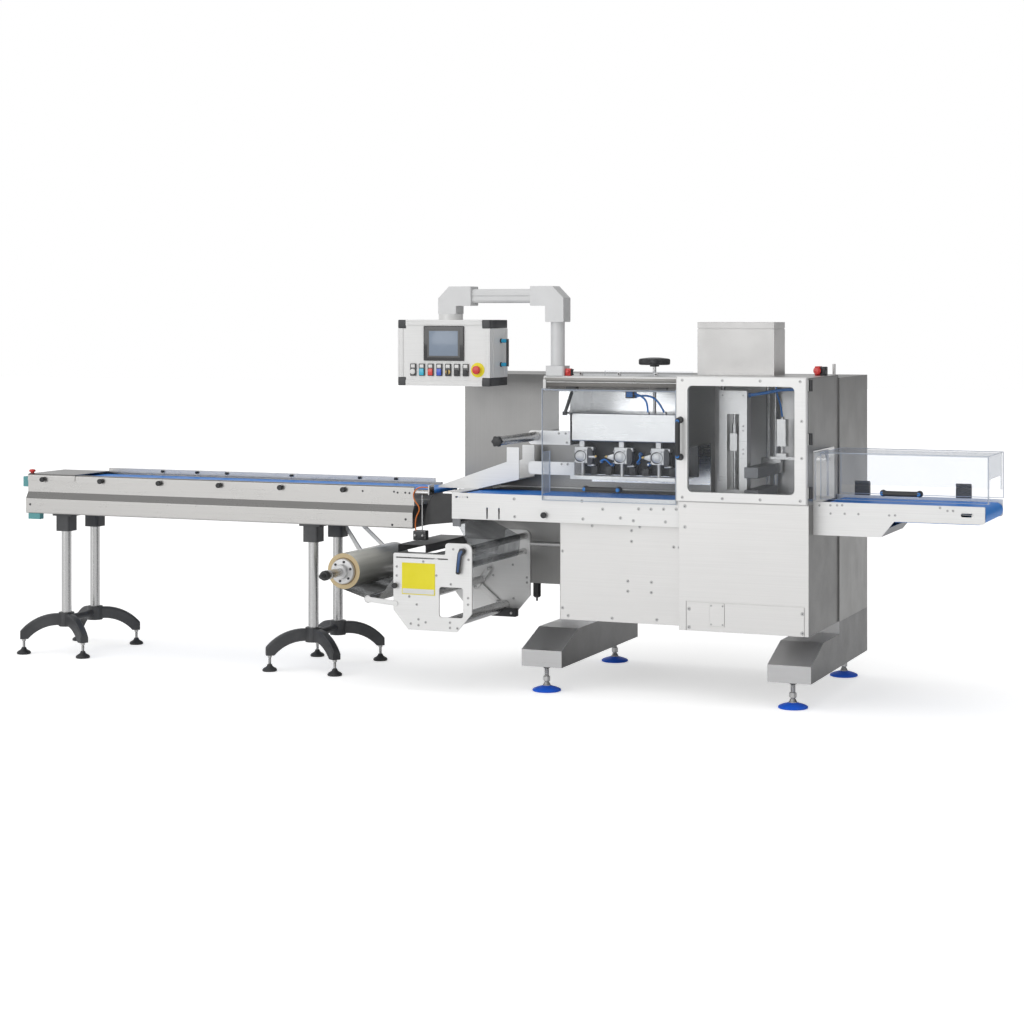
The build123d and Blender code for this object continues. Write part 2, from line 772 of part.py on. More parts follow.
def make_infeed():
    """Folded sides, end plates, slider, belt, rollers, cover and guide of the infeed conveyor."""
    path = [
        (-INFEED_HALF_UPPER + INFEED_FLANGE_TOP, INFEED_TOP),
        (-INFEED_HALF_UPPER, INFEED_TOP),
        (-INFEED_HALF_UPPER, INFEED_BEND_HIGH),
        (-INFEED_HALF_LOWER, INFEED_BEND_LOW),
        (-INFEED_HALF_LOWER, INFEED_BOTTOM),
        (-INFEED_HALF_LOWER + INFEED_FLANGE_BOTTOM, INFEED_BOTTOM),
    ]
    side = outline_yz(bent_sheet(path, SHEET), infeed_left, infeed_right)
    keep("infeed_sides", side, mirrored(side))

    high, fold, low = beside(path, SHEET)[2:5]
    for x, top in ((infeed_left, slider_top), (infeed_right - SHEET, INFEED_BEND_HIGH - BEND)):
        front_half = [(-infeed_inner, top), high, (*fold, BEND), (*low, BEND)]
        back_half = [(-point[0], *point[1:]) for point in front_half[::-1]]
        keep("belt_beds", outline_yz(front_half + back_half, x, x + SHEET))

    tail = infeed_left + INFEED_TAIL
    nose = infeed_right + NOSE_REACH
    half_belt = INFEED_BELT_WIDTH / 2
    keep("conveyor_belts", belt_loop(tail, nose, -half_belt, half_belt, NOSE_RADIUS))
    keep("belt_rollers", peg(tail, -infeed_inner, roller_z, ROLLER_RADIUS - ROUND_GAP, 2 * infeed_inner, "Y"))
    bracket_inner = half_belt + BELT_THICKNESS
    bracket_outer = bracket_inner + NOSE_BRACKET
    nose_bar = peg(nose, -bracket_inner, slider_top - NOSE_RADIUS, NOSE_RADIUS - ROUND_GAP,
                   2 * bracket_inner, "Y")
    keep("belt_rollers", nose_bar)
    slider_low = slider_top - SHEET
    slider = block(tail + SLIDER_GAP, infeed_right, -infeed_inner, infeed_inner, slider_low, slider_top)
    slider += block(infeed_right, nose - 2 * NOSE_RADIUS, -bracket_outer, bracket_outer, slider_low,
                    slider_top)
    for y in (-bracket_outer, bracket_inner):
        slider += block(infeed_right - NOSE_REACH, nose + NOSE_RADIUS, y, y + NOSE_BRACKET,
                        slider_low - NOSE_BRACKET_HEIGHT, slider_low)
    keep("belt_beds", slider)
    keep("belt_beds", peg(infeed_right, TIE_Y, TIE_Z, TIE_RADIUS, INFEED_GAP, "X"))

    cover_half = INFEED_HALF_UPPER + SHEET
    cover_top = INFEED_TOP + SHEET
    cover_low = INFEED_TOP - END_COVER_DROP
    cover = [(cover_half, cover_low), (cover_half, cover_top), (-cover_half, cover_top),
             (-cover_half, cover_low)]
    cover_right = infeed_left + END_COVER_LENGTH
    keep("infeed_covers", outline_yz(bent_sheet(cover, SHEET, BEND + SHEET), infeed_left, cover_right))
    guide_top = INFEED_TOP + GUIDE_HEIGHT
    keep(
        "infeed_covers",
        block(cover_right, infeed_right - ROLLER_INSET, GUIDE_Y, GUIDE_Y + GUIDE_THICKNESS, INFEED_TOP,
              guide_top),
    )
    for index in range(INFEED_KNOBS):
        x = infeed_left + INFEED_KNOB_START + index * INFEED_KNOB_PITCH
        face = -INFEED_HALF_UPPER if x > cover_right else -cover_half
        keep("knobs", along(x, face, INFEED_TOP - KNOB_DROP, "-Y", round_knob(KNOB_RADIUS, KNOB_LENGTH)))
    small_knob = round_knob(GUIDE_KNOB_RADIUS, GUIDE_KNOB_LENGTH)
    for place in GUIDE_KNOB_PLACES:
        keep("knobs", along(infeed_left + place, GUIDE_Y, guide_top - GUIDE_HEIGHT / 2, "-Y", small_knob))

    length, width, height = SWITCH_BOX
    switch_y = SWITCH_Y + width / 2
    keep(
        "infeed_switches",
        pad_xy(infeed_left - length / 2, switch_y, SWITCH_LOW, SWITCH_LOW + height, length, width, BEND),
    )
    length, width, height = UNDER_BOX
    under_left = infeed_left + LIP
    under_front = -INFEED_HALF_LOWER + SHEET
    keep(
        "infeed_switches",
        block(under_left, under_left + length, under_front, under_front + width,
              INFEED_BOTTOM - height, INFEED_BOTTOM),
    )
    keep("stop_buttons", along(infeed_left + LIP, SWITCH_Y, cover_top, "Z", mushroom(MUSHROOM_RADIUS)))


def stand_arm(direction_x, direction_y):
    """Cast arm that arches from the hub down to its foot, with its upper edges bevelled."""
    reach = math.hypot(direction_x, direction_y)
    start = HUB_RADIUS * 0.5
    tip = reach + ARM_WIDTH * 0.45
    heel = reach - ARM_WIDTH * 0.5
    tip_top = HUB_TOP - ARM_DROP
    root_low = HUB_TOP - ARM_DROP + ARM_THICKNESS / 2
    top = ThreePointArc((start, HUB_TOP - ARM_ROUND), (reach * 0.62, HUB_TOP - 3 * ARM_ROUND), (tip, tip_top))
    end = Polyline((tip, tip_top), (tip, ARM_END_BOTTOM), (heel, ARM_END_BOTTOM))
    under_middle = (reach * 0.52, HUB_TOP - ARM_THICKNESS - 3 * ARM_ROUND)
    under = ThreePointArc((heel, ARM_END_BOTTOM), under_middle, (start, root_low))
    close = Line((start, root_low), (start, HUB_TOP - ARM_ROUND))
    arm = extrude(Plane.XZ * make_face(top + end + under + close), amount=ARM_WIDTH / 2, both=True)
    crown = arm.edges().filter_by(GeomType.CIRCLE).sort_by(Axis.Z)[-2:]
    arm = chamfer(crown, ARM_ROUND)
    return Rot(0, 0, math.degrees(math.atan2(direction_y, direction_x))) * arm


def make_stands():
    """Two stands, each with two columns on two-footed castings joined by a bar."""
    clamp_low = INFEED_BOTTOM - CLAMP_HEIGHT
    flange_low = INFEED_BOTTOM - CLAMP_FLANGE_THICKNESS
    pad = levelling_pad(STAND_PAD_RADIUS, STAND_PAD_RIM, STAND_PAD_HEIGHT, 2 * STAND_STEM_RADIUS)
    for stand in range(2):
        x = infeed_left + STAND_FIRST + stand * STAND_PITCH
        for side in (-1, 1):
            y = side * COLUMN_HALF_SPACING
            keep("stand_columns", rod(x, y, HUB_TOP, COLUMN_RADIUS, clamp_low - HUB_TOP))
            clamp = pad_xy(x, y, clamp_low, flange_low, CLAMP_BLOCK, CLAMP_BLOCK, CLAMP_ROUND)
            flange = pad_xy(x, y, flange_low, INFEED_BOTTOM, CLAMP_FLANGE, CLAMP_FLANGE_DEPTH, CLAMP_ROUND)
            keep("stand_castings", clamp + flange)
            hub = peg(0, 0, HUB_BOTTOM, HUB_RADIUS, HUB_TOP - HUB_BOTTOM, sides=PAD_SIDES)
            for way in (-1, 1):
                hub += stand_arm(way * FOOT_REACH_X, side * FOOT_REACH_Y)
                foot = Pos(x + way * FOOT_REACH_X, y + side * FOOT_REACH_Y, 0)
                stem = peg(0, 0, STAND_PAD_HEIGHT, STAND_STEM_RADIUS, ARM_END_BOTTOM - STAND_PAD_HEIGHT)
                keep("stand_feet", foot * (pad + stem))
            keep("stand_castings", Pos(x, y, 0) * hub)
        bar_half = COLUMN_HALF_SPACING - HUB_RADIUS
        bar = peg(x, -bar_half - ARM_ROUND, CROSS_BAR_Z, CROSS_BAR_RADIUS, 2 * bar_half + 2 * ARM_ROUND, "Y")
        for side in (-1, 1):
            bar -= rod(x, side * COLUMN_HALF_SPACING, HUB_BOTTOM, HUB_RADIUS, HUB_TOP - HUB_BOTTOM)
        keep("stand_castings", bar)
    column_face = COLUMN_HALF_SPACING - COLUMN_RADIUS
    last = infeed_left + STAND_FIRST + STAND_PITCH
    keep("knobs", along(last, column_face, COLUMN_KNOB_Z, "-Y", round_knob(KNOB_RADIUS, KNOB_LENGTH)))


def make_legs():
    """Two floor legs with sloped toes, on levelling feet."""
    side = [
        (LEG_FRONT, LEG_BOTTOM),
        (LEG_FRONT, LEG_BOTTOM + TOE_HEIGHT),
        (PLATEAU_START, PLATEAU_TOP),
        (BACK_FRONT_FACE, PLATEAU_TOP),
        (BACK_FRONT_FACE, CABINET_BOTTOM),
        (back_rear, CABINET_BOTTOM),
        (back_rear, LEG_BOTTOM),
    ]
    pad = levelling_pad(PAD_RADIUS, PAD_RIM, PAD_HEIGHT, 2 * STEM_RADIUS)
    for x in (LEG_LEFT, leg_right):
        keep("machine_legs", outline_yz(side, x, x + LEG_WIDTH))
        for y in (LEG_FRONT + PAD_INSET, back_rear - PAD_INSET):
            centre = x + LEG_WIDTH / 2
            keep("foot_pads", Pos(centre, y, 0) * pad)
            stem = peg(centre, y, PAD_HEIGHT, STEM_RADIUS, LEG_BOTTOM - PAD_HEIGHT)
            for z in (PAD_HEIGHT, LEG_BOTTOM - NUT_HEIGHT):
                stem += peg(centre, y, z, NUT_RADIUS, NUT_HEIGHT, sides=6)
            keep("foot_stems", stem)


def make_cabinets():
    """Electrical cabinet behind, middle cabinet and lower sealing cabinet in front."""
    front = [
        (BACK_LEFT, BACK_STEP),
        (BACK_LEFT, BACK_TOP),
        (back_right, BACK_TOP),
        (back_right, CABINET_BOTTOM),
        (LEG_LEFT, CABINET_BOTTOM),
        (LEG_LEFT, BACK_STEP),
    ]
    cabinet = outline_xz(front, BACK_FRONT_FACE, back_rear)
    door_width = (back_right - BACK_LEFT - 2 * SEAM_BORDER) / BACK_DOORS
    seam_low = BACK_STEP + SEAM_BORDER
    seam_top = BACK_TOP - SEAM_BORDER
    for door in range(BACK_DOORS):
        x = BACK_LEFT + SEAM_BORDER + door * door_width
        ring = block(x, x + door_width, back_rear - SEAM_DEPTH, back_rear, seam_low, seam_top)
        ring -= block(x + SEAM_WIDTH, x + door_width - SEAM_WIDTH, back_rear - SEAM_DEPTH, back_rear,
                      seam_low + SEAM_WIDTH, seam_top - SEAM_WIDTH)
        cabinet -= ring
    keep("electrical_cabinet", cabinet)

    middle = block(MIDDLE_LEFT, CHAMBER_LEFT, MIDDLE_FRONT, BACK_FRONT_FACE, CABINET_BOTTOM, rail_bottom)
    keep("middle_cabinet", fillet(middle.edges().filter_by(Axis.Z).sort_by(Axis.X)[:1], CABINET_CORNER))

    sealing = block(CHAMBER_LEFT, sealer_right, SEALER_FRONT, BACK_FRONT_FACE, CABINET_BOTTOM, SEALER_TOP)
    left = CHAMBER_LEFT + ACCESS_LEFT
    right = sealer_right - ACCESS_RIGHT
    top = CABINET_BOTTOM + ACCESS_HEIGHT
    seam = block(left, right, SEALER_FRONT, SEALER_FRONT + SEAM_DEPTH, CABINET_BOTTOM, top)
    seam -= block(left + SEAM_WIDTH, right - SEAM_WIDTH, SEALER_FRONT, SEALER_FRONT + SEAM_DEPTH,
                  CABINET_BOTTOM, top - SEAM_WIDTH)
    keep("sealing_cabinet", sealing - seam)

    filter_y = BACK_FRONT_FACE + FILTER_INSET
    bowl_low = BACK_STEP - FILTER_LENGTH
    bowl = peg(FILTER_X, filter_y, bowl_low, FILTER_RADIUS, FILTER_LENGTH)
    bowl = chamfer(bowl.faces().sort_by(Axis.Z)[0].edges(), FILTER_RADIUS / 3)
    keep("filter_bowl", bowl + peg(FILTER_X, filter_y, bowl_low - FILTER_DRAIN, FILTER_RADIUS / 4,
                                   FILTER_DRAIN))


def make_feed():
    """Rails, belt and deck that carry the film tube past the sealing heads."""
    front = block(0, CHAMBER_LEFT, RAIL_FRONT, bed_front, rail_bottom, RAIL_TOP)
    length, width = RAIL_SLOT
    for x in RAIL_SLOT_X:
        front -= slot_xz(x, RAIL_SLOT_LOW + length / 2, length, width, RAIL_FRONT, bed_front, 90)
    length, width = RAIL_LONG_SLOT
    front -= slot_xz(RAIL_LONG_SLOT_START + length / 2, RAIL_LONG_SLOT_Z, length, width, RAIL_FRONT,
                     bed_front)
    keep("feed_rails", front, block(0, CHAMBER_LEFT, bed_back, RAIL_BACK, rail_bottom, RAIL_TOP))

    bed = block(0, CHAMBER_LEFT, bed_front, bed_back, rail_bottom, rail_bottom + BED_HEIGHT)
    ear_low = rail_bottom - EAR_DROP
    for y in (bed_front, bed_back - EAR_THICKNESS):
        bed += block(0, EAR_WIDTH, y, y + EAR_THICKNESS, ear_low, rail_bottom)
    keep("belt_beds", bed)
    x, z, radius = FILM_BAR
    bar_length = bed_back - bed_front - 2 * EAR_THICKNESS
    keep("film_rollers", rod(x, bed_front + EAR_THICKNESS, z, radius, bar_length, "Y"))

    belt_front = bed_front + FEED_BELT_GAP
    belt_back = belt_front + FEED_BELT_WIDTH
    head = CHAMBER_LEFT - FEED_HEAD
    keep("conveyor_belts", belt_loop(FEED_TAIL, head, belt_front, belt_back))
    for x in (FEED_TAIL, head):
        keep("belt_rollers", peg(x, bed_front, roller_z, ROLLER_RADIUS - ROUND_GAP, bed_back - bed_front,
                                 "Y"))
    slider = block(FEED_TAIL + SLIDER_GAP, head - SLIDER_GAP, bed_front, bed_back, slider_top - SHEET,
                   slider_top)
    deck = block(FEED_TAIL + SLIDER_GAP, head - SLIDER_GAP, belt_back + SHEET, bed_back, slider_top, BELT_TOP)
    keep("belt_beds", slider + deck)
    knob_x, knob_z = RAIL_KNOB
    keep("knobs", along(knob_x, RAIL_FRONT, knob_z, "-Y", round_knob(RAIL_KNOB_RADIUS, KNOB_LENGTH)))


def make_chute():
    """Dark chute under the gap between infeed and rails, and the dark guard over the reel's film."""
    left = -CHUTE_REACH
    low_left = left - CHUTE_LIP
    right_low = CHUTE_LOW + CHUTE_RIGHT_RISE
    edge = ThreePointArc((left, CHUTE_TOP), (left - CHUTE_BULGE, CHUTE_MIDDLE), (low_left, CHUTE_LOW))
    base = Polyline((low_left, CHUTE_LOW), (0, right_low), (0, CHUTE_TOP), (left, CHUTE_TOP))
    cheek = make_face(edge + base)
    inner = CHUTE_HALF - SHEET
    chute = plate_xz(cheek, -CHUTE_HALF, CHUTE_HALF)
    chute -= plate_xz(Pos(SHEET, 0) * cheek, -inner, inner)
    chute -= block(low_left, left + CHUTE_LIP, -inner, inner, CHUTE_MIDDLE + CHUTE_BULGE, CHUTE_TOP)
    keep("film_curtain", chute)

    length, height = FILM_GUARD
    top = FILM_GUARD_LOW + height
    right = FILM_GUARD_LEFT + length
    path = [(right, FILM_GUARD_LOW), (right, top), (FILM_GUARD_LEFT, top), (FILM_GUARD_LEFT, FILM_GUARD_LOW)]
    keep("film_curtain", outline_xz(bent_sheet(path, SHEET), FILM_GUARD_FRONT, unwind_back))


def make_sensor():
    """Product sensor on its plate beside the chute, with its holder and lead."""
    thickness, depth, height = SENSOR_PLATE
    plate_back = -CHUTE_HALF
    plate_right = SENSOR_PLATE_LEFT + thickness
    plate = block(SENSOR_PLATE_LEFT, plate_right, plate_back - depth, plate_back,
                  SENSOR_PLATE_LOW, SENSOR_PLATE_LOW + height)
    barrel = rod(SENSOR_PLATE_LEFT - SENSOR_LENGTH, SENSOR_Y, SENSOR_Z, SENSOR_RADIUS, SENSOR_LENGTH, "X")
    length, depth, height = SENSOR_BLOCK
    block_front = SENSOR_Y + SENSOR_RADIUS / 2 - depth
    block_top = SENSOR_BLOCK_LOW + height
    wire = peg(SENSOR_ROD_X, SENSOR_Y, block_top, SENSOR_ROD_RADIUS, SENSOR_Z - block_top)
    keep("sensor_mount", plate + barrel + wire)
    holder = block(SENSOR_BLOCK_LEFT, SENSOR_BLOCK_LEFT + length, block_front, block_front + depth,
                   SENSOR_BLOCK_LOW, block_top)
    keep("sensor_mount", holder)
    y = SENSOR_Y - SENSOR_RADIUS - BEND
    route = [
        (SENSOR_PLATE_LEFT, y, SENSOR_Z + 24.0),
        (SENSOR_PLATE_LEFT - 46.0, y, SENSOR_Z + 29.0),
        (SENSOR_PLATE_LEFT - 80.0, y, SENSOR_Z + 3.0),
        (SENSOR_PLATE_LEFT - 78.0, y, SENSOR_Z - 37.0),
        (SENSOR_PLATE_LEFT - 40.0, y, block_top + 105.0),
        (SENSOR_PLATE_LEFT - 74.0, y, block_top + 53.0),
        (SENSOR_PLATE_LEFT - 67.0, y, block_top),
    ]
    keep("sensor_cable", hose("sensor_cable", route, SENSOR_LEAD, nodes["sensor_mount"]))


def make_forming():
    """Forming box that folds the film, on its base, with the guide roller above and its brackets."""
    flat_end = FORMING_HEEL + FORMING_BASE * 0.7
    rise_end = RAIL_TOP + SHEET + FORMING_RISE
    low = RAIL_TOP + SHEET
    side = [
        (FORMING_TIP, low),
        (flat_end, low),
        (FORMING_RIGHT, rise_end),
        (FORMING_RIGHT, FORMING_TOP, FORMING_SHEET),
        (FORMING_RIGHT - FORMING_TAB, FORMING_TOP, FORMING_SHEET),
        (FORMING_RIGHT - FORMING_TAB, FORMING_SHOULDER),
        (FORMING_TIP, low + 2 * FORMING_SHEET),
    ]
    half = FORMING_HALF
    box = outline_xz(side, -half - FORMING_SHEET, -half) + outline_xz(side, half, half + FORMING_SHEET)
    floor = bent_sheet([(FORMING_TIP, low), (flat_end, low), (FORMING_RIGHT, rise_end)], FORMING_SHEET)
    box += outline_xz(floor, -half, half)
    box += block(FORMING_HEEL, flat_end, RAIL_FRONT, RAIL_BACK, RAIL_TOP, low)
    keep("forming_box", box)

    x, z, radius = GUIDE_ROLLER_X, GUIDE_ROLLER_Z, GUIDE_ROLLER_RADIUS
    length = BACK_FRONT_FACE - GUIDE_ROLLER_FRONT
    keep("film_rollers", rod(x, GUIDE_ROLLER_FRONT, z, radius, length, "Y"))
    size, thick = GUIDE_KNOB_SIZE
    keep("knobs", along(x, GUIDE_ROLLER_FRONT, z, "-Y", star_knob(size, thick, 7, size / 3)))
    sheet_back = FIN_FRONT + BRACKET_SHEET
    plate_right = END_PLATE_X + BRACKET_SHEET
    low = z - BRACKET_HEIGHT / 2 - BRACKET_SHEET
    top = low + BRACKET_HEIGHT
    upper = [(BRACKET_LEFT, low, BRACKET_ROUND), (plate_right, low), (plate_right, top),
             (BRACKET_LEFT, top, BRACKET_ROUND)]
    hole = rod(x, FIN_FRONT, z, radius + ROUND_GAP, BRACKET_SHEET, "Y")
    keep("film_brackets", outline_xz(upper, FIN_FRONT, sheet_back) - hole)
    low_top = LOWER_BRACKET_LOW + LOWER_BRACKET_HEIGHT
    right = FIN_LEFT + HEAD_STEM / 2
    lower = [
        (BRACKET_LEFT, LOWER_BRACKET_LOW, BRACKET_ROUND),
        (right, LOWER_BRACKET_LOW),
        (right, low_top),
        (BRACKET_LEFT, low_top, BRACKET_ROUND),
    ]
    keep("film_brackets", outline_xz(lower, FIN_FRONT, sheet_back))
    end_plate = block(END_PLATE_X, plate_right, sheet_back, unwind_back, low, canopy_under)
    flange = block(plate_right - END_FLANGE, plate_right, FIN_FRONT, sheet_back, top, canopy_under)
    keep("back_plate", end_plate + flange)
    keep("back_plate", block(plate_right, CHAMBER_LEFT, unwind_back, BACK_FRONT_FACE, BACK_PLATE_LOW,
                             canopy_under))


def sealing_head(x):
    """One sealing head: a square housing with a grooved disc, its side pad, stem and post."""
    half = HEAD_PLATE / 2
    front = FIN_FRONT + HEAD_SETBACK_Y
    middle = front + HEAD_DEPTH / 2
    housing = window_xz(x, HEAD_Z, HEAD_PLATE, HEAD_PLATE, HEAD_PLATE_CORNER, front, front + HEAD_DEPTH)
    housing -= rod(x, front, HEAD_Z, HEAD_DISC_RADIUS + HEAD_GROOVE, HEAD_GROOVE_DEPTH, "Y")
    disc_front = front - HEAD_DISC_PROUD
    housing += rod(x, disc_front, HEAD_Z, HEAD_DISC_RADIUS, HEAD_DISC_PROUD + HEAD_GROOVE_DEPTH, "Y")
    width, height, depth = HEAD_PAD
    pad_x = x + half + width / 2
    pad_face = [
        (pad_x - width / 2, HEAD_Z - height / 2),
        (pad_x + width / 2, HEAD_Z - height / 2, width * 0.8),
        (pad_x + width / 2, HEAD_Z + height / 2, width * 0.8),
        (pad_x - width / 2, HEAD_Z + height / 2),
    ]
    housing += outline_xz(pad_face, middle - depth / 2, middle + depth / 2)
    stem = HEAD_STEM / 2
    housing += block(x - stem, x + stem, middle - stem, middle + stem, HEAD_Z + half, FIN_LOW)
    housing += peg(x, middle, BAR_TOP, HEAD_POST_RADIUS, HEAD_Z - half - BAR_TOP)
    return housing


def make_fin_seal():
    """Sealing heads under their cover, the bar below them and the canopy above."""
    right = FIN_LEFT + FIN_WIDTH
    cover = block(FIN_LEFT, right, FIN_FRONT, unwind_back, FIN_LOW, fin_top)
    cover = fillet(cover.edges().filter_by(Axis.X).sort_by(Axis.Y)[:2], FIN_CORNER)
    end_low = fin_top - FIN_END_HEIGHT
    cover += block(right, right + FIN_END_WIDTH, FIN_FRONT + FIN_CORNER, unwind_back, end_low,
                   fin_top - FIN_CORNER)
    keep("fin_seal_cover", cover)
    for x in HEAD_PLACES:
        keep("fin_seal_wheels", sealing_head(x))
    bar_left = END_PLATE_X + BRACKET_SHEET
    bar_low = BAR_TOP - BAR_HEIGHT
    keep("fin_seal_bar", block(bar_left, right, FIN_FRONT, FIN_FRONT + BAR_DEPTH, bar_low, BAR_TOP))
    for x in (bar_left, right - BAR_HEIGHT):
        keep("fin_seal_bar", block(x, x + BAR_HEIGHT, FIN_FRONT + BAR_DEPTH, unwind_back, bar_low, BAR_TOP))

    path = [
        (BACK_FRONT_FACE, CANOPY_TOP),
        (CANOPY_FRONT, CANOPY_TOP),
        (CANOPY_FRONT, lip_bottom),
        (CANOPY_FRONT + CANOPY_HEM, lip_bottom),
    ]
    tray = outline_yz(bent_sheet(path, CANOPY_SHEET), CANOPY_LEFT, CHAMBER_LEFT)
    end_left = CANOPY_LEFT + CANOPY_SHEET
    tray += block(CANOPY_LEFT, end_left, CANOPY_FRONT + CANOPY_SHEET, BACK_FRONT_FACE,
                  lip_bottom + CANOPY_SHEET, canopy_under)
    spindle_low = fin_top + ROUND_GAP
    tray -= rod(SPINDLE_X, 0, spindle_low, SPINDLE_RADIUS + ROUND_GAP, handwheel_low - spindle_low)
    keep("top_canopy", tray)
    keep("adjusting_spindle", rod(SPINDLE_X, 0, spindle_low, SPINDLE_RADIUS, handwheel_low - spindle_low))

    hub_radius, hub_height = HANDWHEEL_HUB
    cap_radius, cap_height = HANDWHEEL_CAP
    body_low = handwheel_low + hub_height
    wheel = peg(SPINDLE_X, 0, handwheel_low, hub_radius, hub_height)
    outer = HANDWHEEL_REACH + HANDWHEEL_LOBE
    wheel += along(SPINDLE_X, 0, body_low, "Z", star_knob(outer, HANDWHEEL_HEIGHT, 3, HANDWHEEL_LOBE))
    wheel += peg(SPINDLE_X, 0, body_low + HANDWHEEL_HEIGHT, cap_radius, cap_height)
    keep("handwheel", wheel)


def make_front_guard():
    """Clear guard that lifts in front of the seam sealing section, with its stay."""
    axis_y = CANOPY_FRONT - FRONT_HINGE_REACH
    axis_z = FRONT_GUARD_TOP - GUARD_SHEET / 2
    pane_back = axis_y - HINGE_RADIUS - ROUND_GAP
    path = [(pane_back, FRONT_GUARD_TOP), (FRONT_GUARD_Y, FRONT_GUARD_TOP), (FRONT_GUARD_Y, FRONT_GUARD_LOW)]
    guard = outline_yz(bent_sheet(path, GUARD_SHEET), FRONT_GUARD_LEFT, FRONT_GUARD_RIGHT)
    inside = FRONT_GUARD_Y + GUARD_SHEET
    guard += block(FRONT_GUARD_LEFT, FRONT_GUARD_LEFT + GUARD_SHEET, inside, inside + FRONT_GUARD_RETURN,
                   FRONT_GUARD_RETURN_LOW, FRONT_GUARD_RETURN_TOP)
    keep("front_guard", guard)
    keep("front_guard_handle", grip(FRONT_HANDLE_X, FRONT_GUARD_Y, FRONT_HANDLE_Z))
    for x in FRONT_HINGE_PLACES:
        knuckle = rod(x - HINGE_LENGTH / 2, axis_y, axis_z, HINGE_RADIUS, HINGE_LENGTH, "X")
        leaf = block(x - HINGE_LENGTH / 2, x + HINGE_LENGTH / 2, axis_y, CANOPY_FRONT,
                     axis_z - HINGE_RADIUS, axis_z + HINGE_RADIUS)
        keep("hinges", knuckle + leaf)

    low_x, low_z, high_x, high_z = STRUT_LOW_X, strut_low, STRUT_HIGH_X, strut_high
    length = math.hypot(high_x - low_x, high_z - low_z)
    body_length = length * STRUT_BODY_SHARE
    strut = peg(0, 0, 0, STRUT_BODY_RADIUS, body_length)
    strut += peg(0, 0, body_length, STRUT_ROD_RADIUS, length - body_length)
    lean = math.degrees(math.atan2(high_x - low_x, high_z - low_z))
    strut = Pos(low_x, STRUT_Y, low_z) * Rot(0, lean, 0) * strut
    stud = STRUT_ROD_RADIUS
    strut += Pos(low_x, STRUT_Y, low_z) * Box(*[2 * STRUT_EYE_RADIUS] * 3)
    strut += peg(low_x, STRUT_Y, low_z, stud, FIN_FRONT - STRUT_Y, "Y")
    strut += peg(high_x, STRUT_Y, high_z, STRUT_EYE_RADIUS, canopy_under - high_z)
    keep("guard_strut", strut)
    return axis_y, axis_z


